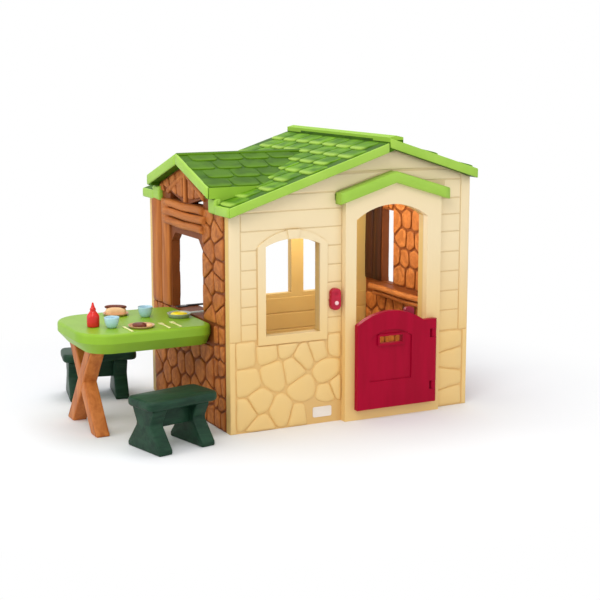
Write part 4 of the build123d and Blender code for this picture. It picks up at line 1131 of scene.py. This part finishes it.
class PLAYHOUSE_OT_benches(bpy.types.Operator):
    """Both benches: a grained seat with a rounded edge, two hourglass legs and a stretcher, at their own turn."""
    bl_idname = "playhouse.benches"
    bl_label = "Benches"

    def execute(self, context):
        edge = context.scene.playhouse_table.seat_round / MM
        half = [(119, 0), (119, 20), (54, 104), (52, 116), (86, 183)]
        leg_line = rounded([*half, *[(-y, z) for y, z in reversed(half)]], 10, 4)
        seat_line = rounded(mirrored((-163, 95), (183, 95)), 40, 8)
        apron = rounded([(-23, 92), (23, 92), (23, 183), (-23, 183)], 8)
        up = np.array([0, 0, 1])
        for which, side in (("near", -1), ("far", 1)):
            turn = math.radians(-side * 12.5)
            along = np.array([math.cos(turn), math.sin(turn), 0])
            across = np.array([-math.sin(turn), math.cos(turn), 0])
            middle = np.array([-278, GABLE_Y + side * 476, 0])
            bench = Shells()
            prism(bench, Plane(middle, along, across, up), seat_line, 181, 221, edge, 0.6)
            for x in (-106, 106):
                prism(bench, Plane(middle + along * x, across, up, along), leg_line, -32, 32, 6, 0.4)
            prism(bench, Plane(middle, across, up, along), apron, -80, 80, 4, 0.2)
            names = [f"{which}_bench_{piece}" for piece in ("seat", "leg_left", "leg_right", "apron")]
            bench.build(f"{which}_bench", "bench_green", "bench", f"{which}_bench", names)
        return {"FINISHED"}


class PLAYHOUSE_OT_tableware(bpy.types.Operator):
    """The toy food and tableware on the table, and the turner on the shelf."""
    bl_idname = "playhouse.tableware"
    bl_label = "Tableware"

    def execute(self, context):
        cos, sin = math.cos(VIEW_TURN), math.sin(VIEW_TURN)

        def food(middle, along, across, lift, radii, flat, lumps=0.0):
            """A lump of food on a dish, moved along and across the direction it lies in."""
            x = middle[0] + along * cos - across * sin
            y = middle[1] + along * sin + across * cos
            return blob, (x, y, TABLEWARE_Z + lift), radii, VIEW_TURN, flat, lumps

        sandwich, steak, pan = (-305.0, 560.0), (-300.0, 250.0), (-70.0, 388.0)
        toy("bottle", "ketchup", "toy_red", "ketchup_bottle", (lathe, (-480.0, 352.0, TABLEWARE_Z), BOTTLE))
        toy("sandwich_dish", "sandwich", "toy_plate", "sandwich_plate", (lathe, (*sandwich, TABLEWARE_Z), PLATE))
        toy("roll", "sandwich", "toy_bread", "bread_roll",
            food(sandwich, 0, -9, 16, (46, 18, 21), 0.62), food(sandwich, 0, 9, 16, (46, 17, 26), 0.5))
        toy("hot_dog", "sandwich", "toy_meat", "sausage", food(sandwich, 0, 0, 37, (50, 10, 10), 1.0))
        toy("steak_dish", "steak_dish", "toy_plate", "steak_plate", (lathe, (*steak, TABLEWARE_Z), PLATE))
        toy("meat", "steak_dish", "toy_meat", "steak", food(steak, -9, 0, 9, (31, 23, 12), 0.5, 0.06))
        toy("bread", "steak_dish", "toy_bread", "bread_slice", food(steak, 34, 0, 8, (13, 15, 8), 0.6))
        for name, at in (("cup_near", (-417.0, 294.0)), ("cup_far", (-202.0, 460.0))):
            toy(f"{name}_bowl", name, "toy_blue", name, (lathe, (*at, TABLEWARE_Z), CUP))
        handle = rounded(mirrored((50, 7), (170, 9)), 7)
        toy("pan", "pan", "toy_grey", "frying_pan", (lathe, (*pan, TABLEWARE_Z), PAN),
            (prism, LEVEL.at(*pan, TABLEWARE_Z), handle, 12, 19, 2.5))
        toy("omelette", "pan", "toy_yellow", "fried_egg",
            (blob, (*pan, TABLEWARE_Z + 9), (38, 36, 15), 0.0, 0.36, 0.05))

        handle = rounded(mirrored((-59, 5.5), (8, 4), (30, 5)), 5)
        blade = rounded([(20, -7), (52, -7), (59, 0), (56, 6), (20, 6)], 5)
        prongs = [(rounded(mirrored((24, 9), (40, 9.5)), 4), 0, 4, 1.2)]
        for v in (-7.2, 0, 7.2):
            prongs.append((rounded([(37, v - 2.2), (59, v - 1.6), (59, v + 1.6), (37, v + 2.2)], 1.6), 0, 4, 1))
        for name, body, node, at, head in (
                ("fork_a", "fork_left", "fork_left", (-200.0, 230.0), prongs),
                ("fork_b", "fork_right", "fork_right", (-146.0, 236.0), prongs),
                ("knife", "knife", "table_knife", (-368.0, 229.0), [(blade, 0, 3.6, 1.2)])):
            flat = LEVEL.turned().at(*at, TABLEWARE_Z)
            slabs = [(handle, 0, 4, 1.5), *head]
            toy(name, body, "toy_cream", node, *((prism, flat, *slab) for slab in slabs))

        flat = LEVEL.at(78.0, 596.0, 458.3)
        toy("turner", "spatula", "toy_black", "spatula",
            (prism, flat, rounded(mirrored((-75, 18), (-24, 20)), 7), 0, 5, 2),
            (prism, flat, rounded(mirrored((-28, 6), (75, 7)), 6), 0, 8, 2.5))
        return {"FINISHED"}


# ======== stage
# where the camera stands from the cabin's corner, its shift, and its angles in degrees
CAMERA_PLACE, CAMERA_SHIFT, CAMERA_DOWN, CAMERA_TURN = (-2.2997, -5.1519, 1.6105), (-0.0026, -0.0071), 10.11, -27.15
COOL_WHITE = (0.95, 0.97, 1.0, 1.0)
LAMPS = (("left", (-4.6, 0.2, 2.2), (-0.2, 0, 0.5), 2.4, 46),
         ("fill", (2.8, -4.2, 2.4), (0.2, 0, 0.5), 3.0, 26),
         ("top", (0.4, 0.6, 5.0), (0, 0, 0.5), 3.0, 78))


def light(name, place, aim, size, power, colour=(1, 1, 1)):
    """A soft square light that faces aim."""
    data = bpy.data.lights.new(name, "AREA")
    data.shape, data.size, data.energy, data.color = "SQUARE", size, power, colour
    lamp = bpy.data.objects.new(name, data)
    lamp.location = place
    lamp.rotation_euler = (Vector(aim) - Vector(place)).to_track_quat("-Z", "Y").to_euler()
    bpy.context.scene.collection.objects.link(lamp)
    return lamp


class PLAYHOUSE_OT_stage(bpy.types.Operator):
    """Floor, white surroundings, lights and camera."""
    bl_idname = "playhouse.stage"
    bl_label = "Stage"

    def execute(self, context):
        look = context.scene.playhouse_stage
        mesh = bpy.data.meshes.new("floor")
        mesh.from_pydata([(-30, -30, 0), (30, -30, 0), (30, 30, 0), (-30, 30, 0)], [], [(0, 1, 2, 3)])
        floor = bpy.data.objects.new("floor", mesh)
        bpy.context.scene.collection.objects.link(floor)
        paint = Paint("floor_white", 0.9)
        far = ((paint.x * paint.x + paint.y * paint.y) ** 0.5).step(1.0, 2.1) * paint.seen()
        glow = paint.out("ShaderNodeEmission")
        surface = paint.out("ShaderNodeMixShader", (), {0: far, 1: paint.shader(look.floor), 2: glow})
        paint.node("ShaderNodeOutputMaterial", (), {"Surface": surface})
        mesh.materials.append(paint.material)

        scene = context.scene
        world = scene.world = bpy.data.worlds.new("white_room")
        world.use_nodes = True
        room = Tree(world.node_tree)
        fill, plain = (room.out("ShaderNodeBackground", (), {"Color": colour, "Strength": strength})
                       for colour, strength in ((COOL_WHITE, look.fill_strength), ((1, 1, 1, 1), 1.0)))
        both = room.out("ShaderNodeMixShader", (), {0: room.seen(), 1: fill, 2: plain})
        room.node("ShaderNodeOutputWorld", (), {"Surface": both})

        light("key", (-2.6, -3.4, 4.6), (0, 0, 0.4), 2.6, look.key_power, (1.0, 0.98, 0.95))
        for lamp in LAMPS:
            light(*lamp)
        cabin = HOUSE + np.array([0.70, 0.52, 0.95])
        inside = light("cabin", cabin, cabin + np.array([0.5, 0.0, -0.7]), 0.4, 5.5, (1.0, 0.97, 0.92))
        inside.visible_camera = False

        camera_data = bpy.data.cameras.new("camera")
        camera_data.lens, camera_data.sensor_width = 81.80, 36.0
        camera_data.shift_x, camera_data.shift_y = CAMERA_SHIFT
        camera = bpy.data.objects.new("camera", camera_data)
        camera.location = HOUSE + np.array(CAMERA_PLACE)
        camera.rotation_euler = (math.radians(90 - CAMERA_DOWN), 0, math.radians(CAMERA_TURN))
        scene.collection.objects.link(camera)
        scene.camera = camera
        scene.view_settings.view_transform = "Standard"
        return {"FINISHED"}


# ======== the add-on
class PLAYHOUSE_PT_panel(bpy.types.Panel):
    """Lists the settings and the pieces that can be built"""
    bl_idname = "PLAYHOUSE_PT_panel"
    bl_label = "Playhouse"
    bl_space_type = "VIEW_3D"
    bl_region_type = "UI"
    bl_category = "Playhouse"

    def draw(self, context):
        for group, settings in SETTINGS.items():
            box = self.layout.box()
            for key in settings.__annotations__:
                box.prop(getattr(context.scene, group), key)
        for operator in PIECES:
            self.layout.operator(operator.bl_idname)


SETTINGS = {"playhouse_cabin": CabinSettings, "playhouse_table": TableSettings, "playhouse_stage": StageSettings}
PIECES = (PLAYHOUSE_OT_front, PLAYHOUSE_OT_back, PLAYHOUSE_OT_patio,
          PLAYHOUSE_OT_side, PLAYHOUSE_OT_roof, PLAYHOUSE_OT_pediment,
          PLAYHOUSE_OT_door, PLAYHOUSE_OT_bell, PLAYHOUSE_OT_table,
          PLAYHOUSE_OT_benches, PLAYHOUSE_OT_tableware, PLAYHOUSE_OT_stage)


def register():
    for entry in (*SETTINGS.values(), *PIECES, PLAYHOUSE_PT_panel):
        bpy.utils.register_class(entry)
    for group, settings in SETTINGS.items():
        setattr(bpy.types.Scene, group, bpy.props.PointerProperty(type=settings))


def unregister():
    for group in SETTINGS:
        delattr(bpy.types.Scene, group)
    for entry in reversed((*SETTINGS.values(), *PIECES, PLAYHOUSE_PT_panel)):
        bpy.utils.unregister_class(entry)


def main():
    """Builds every piece in order."""
    register()
    for operator in PIECES:
        getattr(bpy.ops.playhouse, operator.bl_idname.split(".")[1])()


if __name__ == "__main__":
    main()
